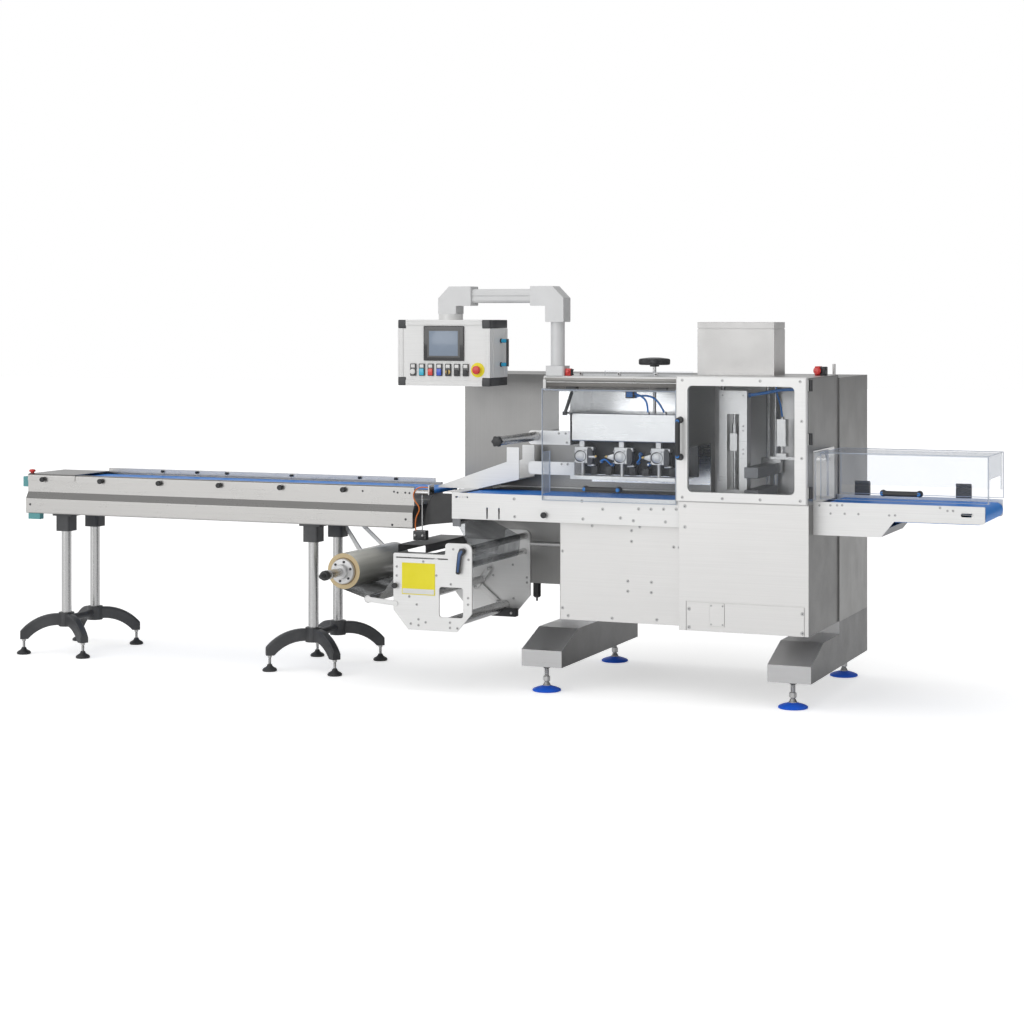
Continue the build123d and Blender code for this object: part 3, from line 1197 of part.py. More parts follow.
def make_chamber():
    """Walls of the sealing chamber, its hinged door, the hood and the buttons on the roof."""
    left = CHAMBER_LEFT
    wall = CHAMBER_WALL
    pass_top = SEALER_TOP + PASS_HEIGHT
    wall_back = BACK_FRONT_FACE - wall
    side = [
        (SEALER_FRONT, SEALER_TOP),
        (SEALER_FRONT, ceiling),
        (wall_back, ceiling),
        (wall_back, SEALER_TOP),
        (PASS_BACK, SEALER_TOP),
        (PASS_BACK, pass_top, CABINET_CORNER),
        (PASS_FRONT, pass_top, CABINET_CORNER),
        (PASS_FRONT, SEALER_TOP),
    ]
    keep("chamber_side_walls", outline_yz(side, left, left + wall),
         outline_yz(side, sealer_right - wall, sealer_right))
    shell = block(left, sealer_right, wall_back, BACK_FRONT_FACE, SEALER_TOP, CHAMBER_TOP)
    shell += block(left, sealer_right, SEALER_FRONT, wall_back, ceiling, CHAMBER_TOP)
    vent_x, vent_y = VENT_PLACE
    shell += peg(vent_x, vent_y, CHAMBER_TOP, VENT_RADIUS, VENT_HEIGHT)
    keep("chamber_shell", shell)
    hood_left = left - HOOD_OVERHANG
    hood_right = hood_left + HOOD_WIDTH
    hood_back = HOOD_FRONT + HOOD_DEPTH
    lid_low = CHAMBER_TOP + HOOD_HEIGHT - HOOD_LID
    hood = block(hood_left, hood_right, HOOD_FRONT, hood_back, CHAMBER_TOP, lid_low + HOOD_LID)
    groove = block(hood_left, hood_right, HOOD_FRONT, hood_back, lid_low - SEAM_WIDTH, lid_low)
    groove -= block(hood_left + SEAM_DEPTH, hood_right - SEAM_DEPTH, HOOD_FRONT + SEAM_DEPTH,
                    hood_back - SEAM_DEPTH,
                    lid_low - SEAM_WIDTH, lid_low)
    keep("hood", hood - groove)

    for (x, y), (length, depth, height), floor in (
        (TOP_BOX_PLACE, TOP_BOX, CHAMBER_TOP),
        (LEFT_BOX_PLACE, LEFT_BOX, CANOPY_TOP),
    ):
        housing = block(x, x + length, y, y + depth, floor, floor + height)
        button = along(x + length / 2, y, floor + height / 2, "-Y", mushroom(depth / 3))
        keep("stop_buttons", housing + button)

    door_back = SEALER_FRONT - DOOR_GAP
    door_front = door_back - DOOR_THICKNESS
    door_left = left - DOOR_OVERLAP
    door_right = sealer_right - DOOR_INSET
    door_low = SEALER_TOP + DOOR_GAP
    door_top = CHAMBER_TOP + DOOR_GAP
    leaf = block(door_left, door_right, door_front, door_back, door_low, door_top)
    leaf = chamfer(leaf.faces().sort_by(Axis.Y)[0].edges(), DOOR_ROUND)
    win_width = door_right - door_left - 2 * DOOR_BORDER_SIDE
    win_height = door_top - door_low - DOOR_BORDER_TOP - DOOR_BORDER_BOTTOM
    win_x = (door_left + door_right) / 2
    win_z = door_low + DOOR_BORDER_BOTTOM + win_height / 2
    leaf -= window_xz(win_x, win_z, win_width, win_height, DOOR_CORNER, door_front, door_back)
    keep("door_pane", window_xz(win_x, win_z, win_width, win_height, DOOR_CORNER,
                                door_front + PANE_SETBACK - PANE_THICKNESS, door_front + PANE_SETBACK))
    handle = Rot(0, 0, -90) * bow(HANDLE_STANDOFF, HANDLE_LENGTH, HANDLE_RADIUS, HANDLE_BEND)
    keep("door_handle", Pos(door_left + HANDLE_INSET, door_front, HANDLE_LOW) * handle)

    hinge_x = sealer_right + DOOR_HINGE_REACH
    hinge_y = SEALER_FRONT - DOOR_GAP / 2
    knuckle_left = hinge_x - HINGE_RADIUS - ROUND_GAP
    for low in DOOR_HINGE_PLACES:
        top = low + HINGE_LENGTH
        hinge = rod(hinge_x, hinge_y, low, HINGE_RADIUS, HINGE_LENGTH)
        hinge += block(sealer_right, hinge_x, hinge_y, SEALER_FRONT + 4 * HINGE_RADIUS, low, top)
        keep("hinges", hinge)
        leaf += block(door_right, knuckle_left, door_back - DOOR_LEAF_THICKNESS, door_back, low, top)
    keep("door_frame", leaf)
    return hinge_x, hinge_y


def toothed_bar(x, low, height, up):
    """Jaw bar with a row of teeth across the product's way, on its upper or lower face."""
    right = x + JAW_WIDTH
    top = low + height
    face, tip = (top, top + JAW_TOOTH_DEPTH) if up else (low, low - JAW_TOOTH_DEPTH)
    pitch = JAW_WIDTH / JAW_TEETH
    points = [(right, low if up else top), (x, low if up else top), (x, face)]
    for tooth in range(JAW_TEETH):
        points.append((x + (tooth + 0.5) * pitch, tip))
        points.append((x + (tooth + 1) * pitch, face))
    return outline_xz(points, JAW_FRONT, JAW_BACK)


def make_jaws():
    """Toothed jaws on their guide rods, the slotted column with its slide, and the actuator."""
    floor = SEALER_TOP
    right = COLUMN_LEFT + COLUMN_WIDTH
    back = COLUMN_FRONT + COLUMN_DEPTH
    column = block(COLUMN_LEFT, right, COLUMN_FRONT, back, floor, COLUMN_TOP)
    slot_width, slot_height = COLUMN_SLOT
    centre = COLUMN_LEFT + COLUMN_WIDTH / 2
    slot_top = COLUMN_SLOT_LOW + slot_height
    pocket = block(centre - slot_width / 2, centre + slot_width / 2, COLUMN_FRONT, back - COLUMN_SHEET,
                   COLUMN_SLOT_LOW, slot_top)
    keep("jaw_column", column - pocket)
    depth = COLUMN_FRONT + (COLUMN_DEPTH - COLUMN_SHEET) / 2
    slide_width, slide_depth, slide_height = SLIDE_BLOCK
    slide = peg(centre, depth, COLUMN_SLOT_LOW, SLIDE_ROD_RADIUS, slot_height)
    slide_top = SLIDE_BLOCK_LOW + slide_height
    slide += pad_xy(centre, depth, SLIDE_BLOCK_LOW, slide_top, slide_width, slide_depth, BEND)
    slide += peg(centre, depth, slide_top, COUPLING_RADIUS, COUPLING_LENGTH)
    keep("jaw_guides", slide)

    keep("sealing_jaws", toothed_bar(JAW_LEFT, floor, JAW_HEIGHT, True))
    keep("sealing_jaws", toothed_bar(JAW_LEFT, JAW_UPPER_LOW, JAW_HEIGHT, False))
    carriage_left = JAW_LEFT - CARRIAGE_MARGIN
    carriage_right = JAW_LEFT + JAW_WIDTH + CARRIAGE_MARGIN
    carriage_back = JAW_BACK + CARRIAGE_DEPTH
    rod_y = JAW_BACK + CARRIAGE_DEPTH / 2
    carriage = block(carriage_left, carriage_right, JAW_BACK, carriage_back,
                     JAW_UPPER_LOW, JAW_UPPER_LOW + CARRIAGE_HEIGHT)
    for x in (JAW_LEFT + CARRIAGE_MARGIN, JAW_LEFT + JAW_WIDTH - CARRIAGE_MARGIN):
        carriage += peg(x, rod_y, floor, GUIDE_ROD_RADIUS, ceiling - floor)
    keep("jaw_guides", carriage)

    x, y = FRONT_ROD_PLACE
    collar_radius, collar_height, collar_low = FRONT_ROD_COLLAR
    post = peg(x, y, floor, GUIDE_ROD_RADIUS, ceiling - floor)
    keep("jaw_guides", post + peg(x, y, collar_low, collar_radius, collar_height))

    bar_top = CROSS_BAR_LOW + CROSS_BAR_THICKNESS
    wall = sealer_right - CHAMBER_WALL
    bar = block(CROSS_BAR_LEFT, wall, CROSS_BAR_Y, CROSS_BAR_Y + CROSS_BAR_DEPTH, CROSS_BAR_LOW, bar_top)
    half = ACTUATOR_WIDTH / 2
    middle = CROSS_BAR_Y + CROSS_BAR_DEPTH / 2
    neck_low = bar_top + ACTUATOR_BASE
    body_low = neck_low + ACTUATOR_NECK
    bar += block(ACTUATOR_X - half, ACTUATOR_X + half, middle - half, middle + half, bar_top, neck_low)
    bar += peg(ACTUATOR_X, middle, neck_low, COUPLING_RADIUS, ACTUATOR_NECK)
    bar += pad_xy(ACTUATOR_X, middle, body_low, body_low + ACTUATOR_HEIGHT, ACTUATOR_WIDTH, ACTUATOR_WIDTH,
                  BEND)
    keep("jaw_guides", bar)


def make_hoses():
    """Air hoses over the sealing heads and in the chamber, each between its own fittings."""
    length, depth = CONNECTOR
    x, y = CONNECTOR_PLACE
    top = canopy_under
    connector = block(x, x + length, y - depth / 2, y + depth / 2, top - CONNECTOR_HEIGHT, top)
    right = x + length
    first = [
        (right, y, top - 74.0),
        (right + 36.0, y + 6.0, top - 86.0),
        (right + 54.0, y + 28.0, top - 122.0),
        (right + 47.0, y + 50.0, fin_top),
    ]
    second = [
        (right, y + 10.0, top - 88.0),
        (right + 58.0, y + 14.0, top - 78.0),
        (right + 106.0, y + 38.0, top - 110.0),
        (right + 123.0, y + 70.0, fin_top),
    ]
    column_right = COLUMN_LEFT + COLUMN_WIDTH
    wall = sealer_right - CHAMBER_WALL
    trunk = [
        (column_right, -70.0, COLUMN_TOP - 21.0),
        (column_right + 62.0, -64.0, COLUMN_TOP - 13.0),
        (column_right + 142.0, -46.0, COLUMN_TOP + 5.0),
        (wall - 124.0, -30.0, COLUMN_TOP + 7.0),
        (wall - 59.0, -26.0, COLUMN_TOP - 1.0),
        (wall, -30.0, COLUMN_TOP + 3.0),
    ]
    actuator_top = CROSS_BAR_LOW + CROSS_BAR_THICKNESS + ACTUATOR_BASE + ACTUATOR_NECK + ACTUATOR_HEIGHT
    middle = CROSS_BAR_Y + CROSS_BAR_DEPTH / 2
    branch = [
        (ACTUATOR_X - 34.0, middle + 14.0, ceiling),
        (ACTUATOR_X - 36.0, middle + 10.0, ceiling - 71.0),
        (ACTUATOR_X - 6.0, middle + 2.0, ceiling - 131.0),
        (ACTUATOR_X, middle, actuator_top),
    ]
    cover = nodes["fin_seal_cover"]
    connector += hose("left_hose", first, HOSE, cover)
    connector += hose("right_hose", second, HOSE, cover)
    keep("air_hoses", connector)
    keep("air_hoses", hose("trunk_hose", trunk, TRUNK_HOSE,
                           nodes["jaw_column"] + nodes["chamber_side_walls"]))
    keep("air_hoses", hose("branch_hose", branch, HOSE, nodes["chamber_shell"] + nodes["jaw_guides"]))


def make_outfeed():
    """Side plates, belt and clear guard of the outfeed conveyor, on its rear hinges."""
    low = outfeed_top - OUTFEED_DEEP
    mid = outfeed_top - OUTFEED_SHALLOW
    step = outfeed_left + OUTFEED_STEP
    slope_end = step + OUTFEED_SLOPE
    side = [
        (outfeed_left, low),
        (outfeed_left, outfeed_top),
        (OUTFEED_RIGHT, outfeed_top, OUTFEED_CORNER / 3),
        (OUTFEED_RIGHT, mid, OUTFEED_CORNER),
        (slope_end, mid),
        (step, low),
    ]
    inner_front = OUTFEED_FRONT + OUTFEED_PLATE
    inner_back = OUTFEED_BACK - OUTFEED_PLATE
    length, width = OUTFEED_SLOT
    slot_x = OUTFEED_RIGHT - OUTFEED_SLOT_INSET
    slot = slot_xz(slot_x, outfeed_top - OUTFEED_SLOT_DROP - width, length, width, OUTFEED_FRONT, inner_front)
    keep("outfeed_sides", outline_xz(side, OUTFEED_FRONT, inner_front) - slot)
    keep("outfeed_sides", outline_xz(side, inner_back, OUTFEED_BACK))
    tail = outfeed_left + OUTFEED_TAIL
    head = OUTFEED_RIGHT - OUTFEED_HEAD
    keep("conveyor_belts", belt_loop(tail, head, inner_front + OUTFEED_BELT_GAP,
                                     inner_back - OUTFEED_BELT_GAP))
    for x in (tail, head):
        keep("belt_rollers", peg(x, inner_front, roller_z, ROLLER_RADIUS - ROUND_GAP,
                                 inner_back - inner_front, "Y"))
    keep(
        "belt_beds",
        block(tail + SLIDER_GAP, head - SLIDER_GAP, inner_front, inner_back, slider_top - SHEET, slider_top),
    )
    rise = roller_z - belt_outer - 2 * LIP - low
    pan = [
        (outfeed_left, low + rise),
        (outfeed_left, low),
        (step, low),
        (step + rise * OUTFEED_SLOPE / (mid - low), low + rise),
    ]
    keep("belt_beds", outline_xz(bent_sheet(pan, SHEET), inner_front, inner_back))

    arch_top = TUNNEL_TOP + SHEET
    hole_width, hole_height = ENTRY_HOLE
    entry_middle = OUTFEED_FRONT + ENTRY_WIDTH / 2
    entry = block(outfeed_left, outfeed_left + ENTRY_SHEET, OUTFEED_FRONT, OUTFEED_FRONT + ENTRY_WIDTH,
                  tunnel_low, arch_top)
    hole = [
        (entry_middle - hole_width / 2, tunnel_low),
        (entry_middle - hole_width / 2, tunnel_low + hole_height, ENTRY_HOLE_ROUND),
        (entry_middle + hole_width / 2, tunnel_low + hole_height, ENTRY_HOLE_ROUND),
        (entry_middle + hole_width / 2, tunnel_low),
    ]
    keep("entry_plate", entry - outline_yz(hole, outfeed_left, outfeed_left + ENTRY_SHEET))

    arch = [
        (TUNNEL_BACK, tunnel_low + TUNNEL_BACK_RISE),
        (TUNNEL_BACK, TUNNEL_TOP),
        (TUNNEL_FRONT, TUNNEL_TOP),
        (TUNNEL_FRONT, tunnel_low),
    ]
    shell = outline_yz(bent_sheet(arch, GUARD_SHEET), TUNNEL_LEFT, TUNNEL_RIGHT)
    exit_width, exit_height = TUNNEL_EXIT
    inside_front = TUNNEL_FRONT + GUARD_SHEET
    inside_back = TUNNEL_BACK - GUARD_SHEET
    exit_middle = (inside_front + inside_back) / 2
    exit_top = tunnel_low + exit_height
    end_wall = [
        (inside_front, tunnel_low),
        (inside_front, TUNNEL_TOP - GUARD_SHEET),
        (inside_back, TUNNEL_TOP - GUARD_SHEET),
        (inside_back, tunnel_low + TUNNEL_BACK_RISE),
        (exit_middle + exit_width / 2, tunnel_low + TUNNEL_BACK_RISE),
        (exit_middle + exit_width / 2, exit_top, TUNNEL_EXIT_ROUND),
        (exit_middle - exit_width / 2, exit_top, TUNNEL_EXIT_ROUND),
        (exit_middle - exit_width / 2, tunnel_low),
    ]
    keep("outfeed_guard", shell + outline_yz(end_wall, TUNNEL_RIGHT - GUARD_SHEET, TUNNEL_RIGHT))
    handle_z = tunnel_low + TUNNEL_HANDLE_RISE
    handle = grip(TUNNEL_HANDLE_X, TUNNEL_FRONT, handle_z)
    knob_radius, knob_height = TUNNEL_KNOB
    knob_x = TUNNEL_HANDLE_X + GRIP_LENGTH / 2 - GRIP_HEIGHT
    knob_y = TUNNEL_FRONT - GRIP_STANDOFF - GRIP_THICKNESS / 2
    handle += peg(knob_x, knob_y, handle_z + GRIP_HEIGHT / 2 - BEND, knob_radius, knob_height)
    keep("outfeed_guard_handle", handle)

    axis_y = TUNNEL_BACK + HINGE_RADIUS + ROUND_GAP
    axis_z = outfeed_top + TUNNEL_HINGE_RISE
    half = TUNNEL_HINGE_LENGTH / 2
    base_front = TUNNEL_BACK + ROUND_GAP
    for x in TUNNEL_HINGE_PLACES:
        base = block(x - half, x + half, base_front, base_front + 3 * HINGE_RADIUS, outfeed_top, axis_z - LIP)
        neck = block(x - half, x + half, axis_y, axis_y + 2 * HINGE_RADIUS, axis_z - LIP, axis_z)
        knuckle = rod(x - half, axis_y, axis_z, HINGE_RADIUS, TUNNEL_HINGE_LENGTH, "X")
        keep("hinges", base + neck + knuckle)
    return axis_y, axis_z


def make_unwinder():
    """Film reel on its shaft, and the frame of rollers that leads the film up to the forming box."""
    left = UNWIND_LEFT
    right = left + UNWIND_WIDTH
    low = UNWIND_BOTTOM
    side = [
        (left, low + UNWIND_CUT_Z),
        (left, UNWIND_SHOULDER, UNWIND_ROUND / 2),
        (UNWIND_SHOULDER_END, UNWIND_SHOULDER, UNWIND_ROUND / 2),
        (UNWIND_SHOULDER_END, UNWIND_TOP, UNWIND_ROUND),
        (right, UNWIND_TOP, 2 * UNWIND_ROUND),
        (right, low + UNWIND_CUT_Z),
        (right - UNWIND_CUT_X, low),
        (left + UNWIND_CUT_X, low),
    ]
    plate = outline_xz(side, unwind_front, unwind_inner)
    width, height = UNWIND_WINDOW
    window_x, window_z = UNWIND_WINDOW_PLACE
    plate -= window_xz(window_x, window_z, width, height, UNWIND_WINDOW_ROUND, unwind_front, unwind_inner)
    length, width = UNWIND_SLOT
    slot_x, slot_z = UNWIND_SLOT_PLACE
    plate -= slot_xz(slot_x, slot_z, length, width, unwind_front, unwind_inner)
    keep("unwind_plates", plate, outline_xz(side, unwind_back, BACK_FRONT_FACE))
    for x, z, radius in (TOP_ROLLER, EXIT_ROLLER, MIDDLE_ROLLER, ENTRY_ROLLER, LOW_ROLLER, BACK_ROLLER):
        keep("film_rollers", rod(x, unwind_inner, z, radius, unwind_back - unwind_inner, "Y"))

    pivot_x, pivot_z = DANCER_PIVOT
    pivot_x = max(pivot_x, left + DANCER_ARM_HEIGHT / 2)
    x, z, radius = DANCER
    arm_length = math.hypot(pivot_x - x, pivot_z - z)
    arm_turn = math.degrees(math.atan2(pivot_z - z, pivot_x - x))
    arm_face = Pos((pivot_x + x) / 2, (pivot_z + z) / 2) * Rot(0, 0, arm_turn)
    arm_face *= SlotCenterToCenter(arm_length, DANCER_ARM_HEIGHT)
    rear_arm = unwind_back - DANCER_ARM_THICKNESS
    keep("unwind_plates", plate_xz(arm_face, unwind_front - DANCER_ARM_THICKNESS, unwind_front))
    keep("unwind_plates", plate_xz(arm_face, rear_arm, unwind_back))
    keep("film_rollers", rod(x, unwind_front, z, radius, rear_arm - unwind_front, "Y"))

    (lever_x, lever_z), (tip_x, tip_z) = LEVER_PIVOT, LEVER_TIP
    lever_length = math.hypot(tip_x - lever_x, tip_z - lever_z)
    lever_turn = math.degrees(math.atan2(tip_z - lever_z, tip_x - lever_x))
    lever_face = Pos((tip_x + lever_x) / 2, (tip_z + lever_z) / 2) * Rot(0, 0, lever_turn)
    lever_face *= SlotCenterToCenter(lever_length, LEVER_WIDTH)
    lever_back = unwind_front - DANCER_ARM_THICKNESS
    lever = plate_xz(lever_face, lever_back - LEVER_WIDTH, lever_back)
    keep("knobs", lever + peg(lever_x, unwind_front, lever_z, LEVER_WIDTH / 2, DANCER_ARM_THICKNESS, "-Y"))
    knob_x, knob_z = SIDE_KNOB
    keep("knobs", along(knob_x, unwind_front, knob_z, "-Y", round_knob(KNOB_RADIUS, KNOB_LENGTH)))
    tube_y = BACK_FRONT_FACE - UNWIND_TUBE_RADIUS - ROUND_GAP
    keep("unwind_plates", rod(right, tube_y, UNWIND_TUBE_Z, UNWIND_TUBE_RADIUS, MIDDLE_LEFT - right, "X"))

    core = rod(REEL_X, reel_front, REEL_Z, CORE_RADIUS, REEL_LENGTH, "Y")
    keep("film_reel", rod(REEL_X, reel_front, REEL_Z, REEL_RADIUS, REEL_LENGTH, "Y") - core)
    bearing_front = reel_back + BEARING_GAP
    arm_front = bearing_front + BEARING_LENGTH
    shaft_front = reel_front - SHAFT_FRONT
    shaft = rod(REEL_X, shaft_front, REEL_Z, SHAFT_RADIUS, bearing_front - ROUND_GAP - shaft_front, "Y")
    shaft += rod(REEL_X, reel_front, REEL_Z, CORE_RADIUS - ROUND_GAP, REEL_LENGTH, "Y")
    flange_radius, flange_thickness = CHUCK_FLANGE
    shaft += rod(REEL_X, reel_front - flange_thickness, REEL_Z, flange_radius, flange_thickness, "Y")
    cap_radius, cap_length = SHAFT_CAP
    shaft += peg(REEL_X, shaft_front, REEL_Z, cap_radius, cap_length, "-Y")
    keep("reel_shaft", shaft)
    keep("unwind_plates", rod(REEL_X, bearing_front, REEL_Z, BEARING_RADIUS, BEARING_LENGTH, "Y"))
    arm_back = arm_front + REEL_ARM_THICKNESS
    arm_low = REEL_Z - REEL_ARM_HEIGHT / 2
    arm_top = REEL_Z + REEL_ARM_HEIGHT / 2
    arm_left = REEL_X - REEL_ARM_REACH
    arm = block(arm_left, left + UNWIND_CUT_X, arm_front, arm_back, arm_low, arm_top)
    arm += block(left, left + UNWIND_CUT_X, arm_back, unwind_back, arm_low, arm_top)
    width = REEL_STRUT_WIDTH
    foot = REEL_STRUT_TOP + REEL_STRUT_LEAN
    strut = [(REEL_STRUT_TOP, INFEED_BOTTOM), (REEL_STRUT_TOP + width, INFEED_BOTTOM),
             (foot + width, arm_top), (foot, arm_top)]
    arm += outline_xz(strut, arm_front, arm_back)
    clamp_face = infeed_left + STAND_FIRST + STAND_PITCH + CLAMP_BLOCK / 2
    brace_top = INFEED_BOTTOM - REEL_BRACE_DROP
    brace_foot = clamp_face + REEL_BRACE_LEAN
    brace = [(clamp_face, brace_top), (brace_foot, arm_top), (brace_foot - width, arm_top),
             (clamp_face, brace_top - width)]
    arm += outline_xz(brace, arm_front, arm_back)
    keep("unwind_plates", arm)

    edges = []
    for extra in (0.0, FILM_THICKNESS):
        rollers = []
        for (x, z, radius), side_sign in (
            ((REEL_X, REEL_Z, REEL_RADIUS), -1),
            (DANCER, -1),
            (ENTRY_ROLLER, 1),
            (MIDDLE_ROLLER, -1),
            (EXIT_ROLLER, -1),
            (TOP_ROLLER, -1),
            (FILM_BAR, 1),
        ):
            outer = radius + ROUND_GAP
            rollers.append((x, z, outer + extra if side_sign > 0 else extra - outer - FILM_THICKNESS))
        x, z, radius = rollers[-1]
        rollers.append((x + EAR_WIDTH, z, radius))
        edges.append(tight_path(rollers))
    near, far = edges
    ends = [Line(near[0] @ 0, far[0] @ 0), Line(near[-1] @ 1, far[-1] @ 1)]
    web = plate_xz(make_face(Curve() + near + far + ends), reel_front + FILM_INSET, reel_back - FILM_INSET)
    top_x, top_z, top_radius = TOP_ROLLER
    bar_x, bar_z, bar_radius = FILM_BAR
    web_front = reel_front + FILM_INSET
    taper = [
        (web_front, top_z + 2 * top_radius),
        (FILM_TOP_FRONT, bar_z - bar_radius),
        (FILM_TOP_FRONT, rail_bottom),
        (web_front, rail_bottom),
    ]
    web -= outline_yz(taper, bar_x - EAR_WIDTH, top_x + EAR_WIDTH)
    keep("film_web", web)


def elbow(corner_x, way, drop):
    """Square elbow of the arm, with its outer corner cut off, for a tube that leaves to one side."""
    half = ELBOW / 2
    points = [
        (corner_x + way * ELBOW_RUN, ARM_Z - half, ELBOW_ROUND),
        (corner_x + way * half, ARM_Z - half),
        (corner_x + way * half, ARM_Z - drop, ELBOW_ROUND),
        (corner_x - way * half, ARM_Z - drop, ELBOW_ROUND),
        (corner_x - way * half, ARM_Z + half - ELBOW_CHAMFER, ELBOW_ROUND),
        (corner_x - way * (half - ELBOW_CHAMFER), ARM_Z + half, ELBOW_ROUND),
        (corner_x + way * ELBOW_RUN, ARM_Z + half, ELBOW_ROUND),
    ]
    return outline_xz(points, POST_Y - half, POST_Y + half)


def make_panel():
    """Operator panel that hangs from a swivelling arm."""
    keep("arm_base", pad_xy(POST_X, POST_Y, CANOPY_TOP, CANOPY_TOP + BASE_HEIGHT, BASE_SIZE, BASE_SIZE,
                            CLAMP_ROUND))
    post_low = CANOPY_TOP + BASE_HEIGHT + ROUND_GAP
    elbow_low = ARM_Z - ELBOW_DROP
    arm = rod(POST_X, POST_Y, post_low, ARM_TUBE / 2, elbow_low - post_low)
    arm += elbow(POST_X, -1, ELBOW_DROP) + elbow(panel_axis, 1, FAR_ELBOW_DROP)
    tube_left = panel_axis + ELBOW_RUN
    tube_length = POST_X - ELBOW_RUN - tube_left
    section = RectangleRounded(ARM_TUBE, ARM_TUBE, ARM_TUBE_ROUND)
    groove_width, groove_depth = ARM_GROOVE
    for side in (-1, 1):
        section -= Pos(0, side * (ARM_TUBE - groove_depth) / 2) * Rectangle(groove_width, groove_depth)
    arm += Pos(tube_left, POST_Y, ARM_Z) * extrude(Plane.YZ * Rot(0, 0, 90) * section, amount=tube_length)
    keep("panel_arm", arm)

    left = panel_axis - PANEL_WIDTH / 2 + PANEL_OFFSET
    right = left + PANEL_WIDTH
    front = POST_Y - PANEL_FORWARD
    back = front + PANEL_DEPTH
    low = panel_top - PANEL_HEIGHT
    body = block(left, right, front, back, low, panel_top)
    for x in (left, right - PANEL_CORNER):
        for z in (low, panel_top - PANEL_CORNER):
            corner = block(x, x + PANEL_CORNER, front, back, z, z + PANEL_CORNER)
            body -= corner
            outer = [edge for edge in corner.edges().filter_by(Axis.Y)
                     if abs(edge.center().X - panel_axis - PANEL_OFFSET) > PANEL_WIDTH / 2 - 1
                     and abs(edge.center().Z - (low + panel_top) / 2) > PANEL_HEIGHT / 2 - 1]
            keep("panel_fittings", chamfer(outer, PANEL_STEP_DEPTH))
    step = PANEL_STEP
    rim = window_xz((left + right) / 2, (low + panel_top) / 2, PANEL_WIDTH - 2 * step,
                    PANEL_HEIGHT - 2 * step,
                    PANEL_CORNER / 2, front, front + PANEL_STEP_DEPTH)
    body -= rim
    face = front + PANEL_STEP_DEPTH
    collar = rod(panel_axis, POST_Y, panel_top, COLLAR_RADIUS, COLLAR_HEIGHT)
    keep("panel_box", body + collar)

    width, height, proud = SCREEN
    screen_x = left + SCREEN_LEFT + width / 2
    screen_z = panel_top - SCREEN_DROP - height / 2
    bezel = window_xz(screen_x, screen_z, width, height, SCREEN_ROUND, face - proud, face)
    bezel -= window_xz(screen_x, screen_z, width - step, height - step, SCREEN_ROUND, face - proud,
                       face - proud + BEND)
    keep("panel_screen", bezel)
    width, height, proud = BUTTON
    for index in range(BUTTONS):
        x = left + BUTTON_START + index * BUTTON_PITCH
        z = low + BUTTON_RISE
        module = block(x - width / 2, x + width / 2, face - proud, face, z, z + height)
        module += block(x - width / 3, x + width / 3, face - proud - BEND, face - proud, z + BEND,
                        z + height / 2)
        keep("panel_controls", module)
    ring_radius, ring_height = STOP_RING
    stop_x = left + STOP_OFFSET
    stop_z = low + STOP_RISE
    stop = rod(stop_x, face, stop_z, ring_radius, ring_height, "-Y")
    stop += along(stop_x, face - ring_height, stop_z, "-Y", mushroom(STOP_HEAD))
    keep("panel_controls", stop)
    handle = bow(SIDE_GRIP_STANDOFF, SIDE_GRIP_LENGTH, SIDE_GRIP_RADIUS, SIDE_GRIP_BEND)
    keep("panel_fittings", Pos(right, POST_Y - PANEL_OFFSET, low + SIDE_GRIP_RISE) * handle)


make_infeed()
make_stands()
make_legs()
make_cabinets()
make_feed()
make_chute()
make_sensor()
make_forming()
make_fin_seal()
guard_axis = make_front_guard()
door_axis = make_chamber()
make_jaws()
make_hoses()
outfeed_axis = make_outfeed()
make_unwinder()
make_panel()

# The origin goes to the middle of the machine's footprint, on the floor
pieces = {name: [solid for shape in shapes for solid in shape.solids()] for name, shapes in nodes.items()}
whole = Compound([solid for solids in pieces.values() for solid in solids]).bounding_box()
shift = Vector(-(whole.min.X + whole.max.X) / 2, -(whole.min.Y + whole.max.Y) / 2, -whole.min.Z)

os.makedirs("parts", exist_ok=True)
for name, solids in pieces.items():
    export_step(Compound([solid.moved(Location(shift)) for solid in solids]), f"parts/{name}.step")
print(len(pieces), "pieces", "size", whole.size, "shift", shift)
print("hinge axes: door", door_axis, "front guard", guard_axis, "outfeed guard", outfeed_axis)
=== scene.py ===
# %% [markdown]
# # A flow wrap machine, dressed for its picture
# The machine's pieces come from its CAD model at their real size. This lesson gives them their
# finishes, adds the small parts that the solids leave out, and sets up a camera, a floor and soft
# studio light.

# %% Load the frame
import bpy
import bmesh
import math
from mathutils import Matrix, Vector


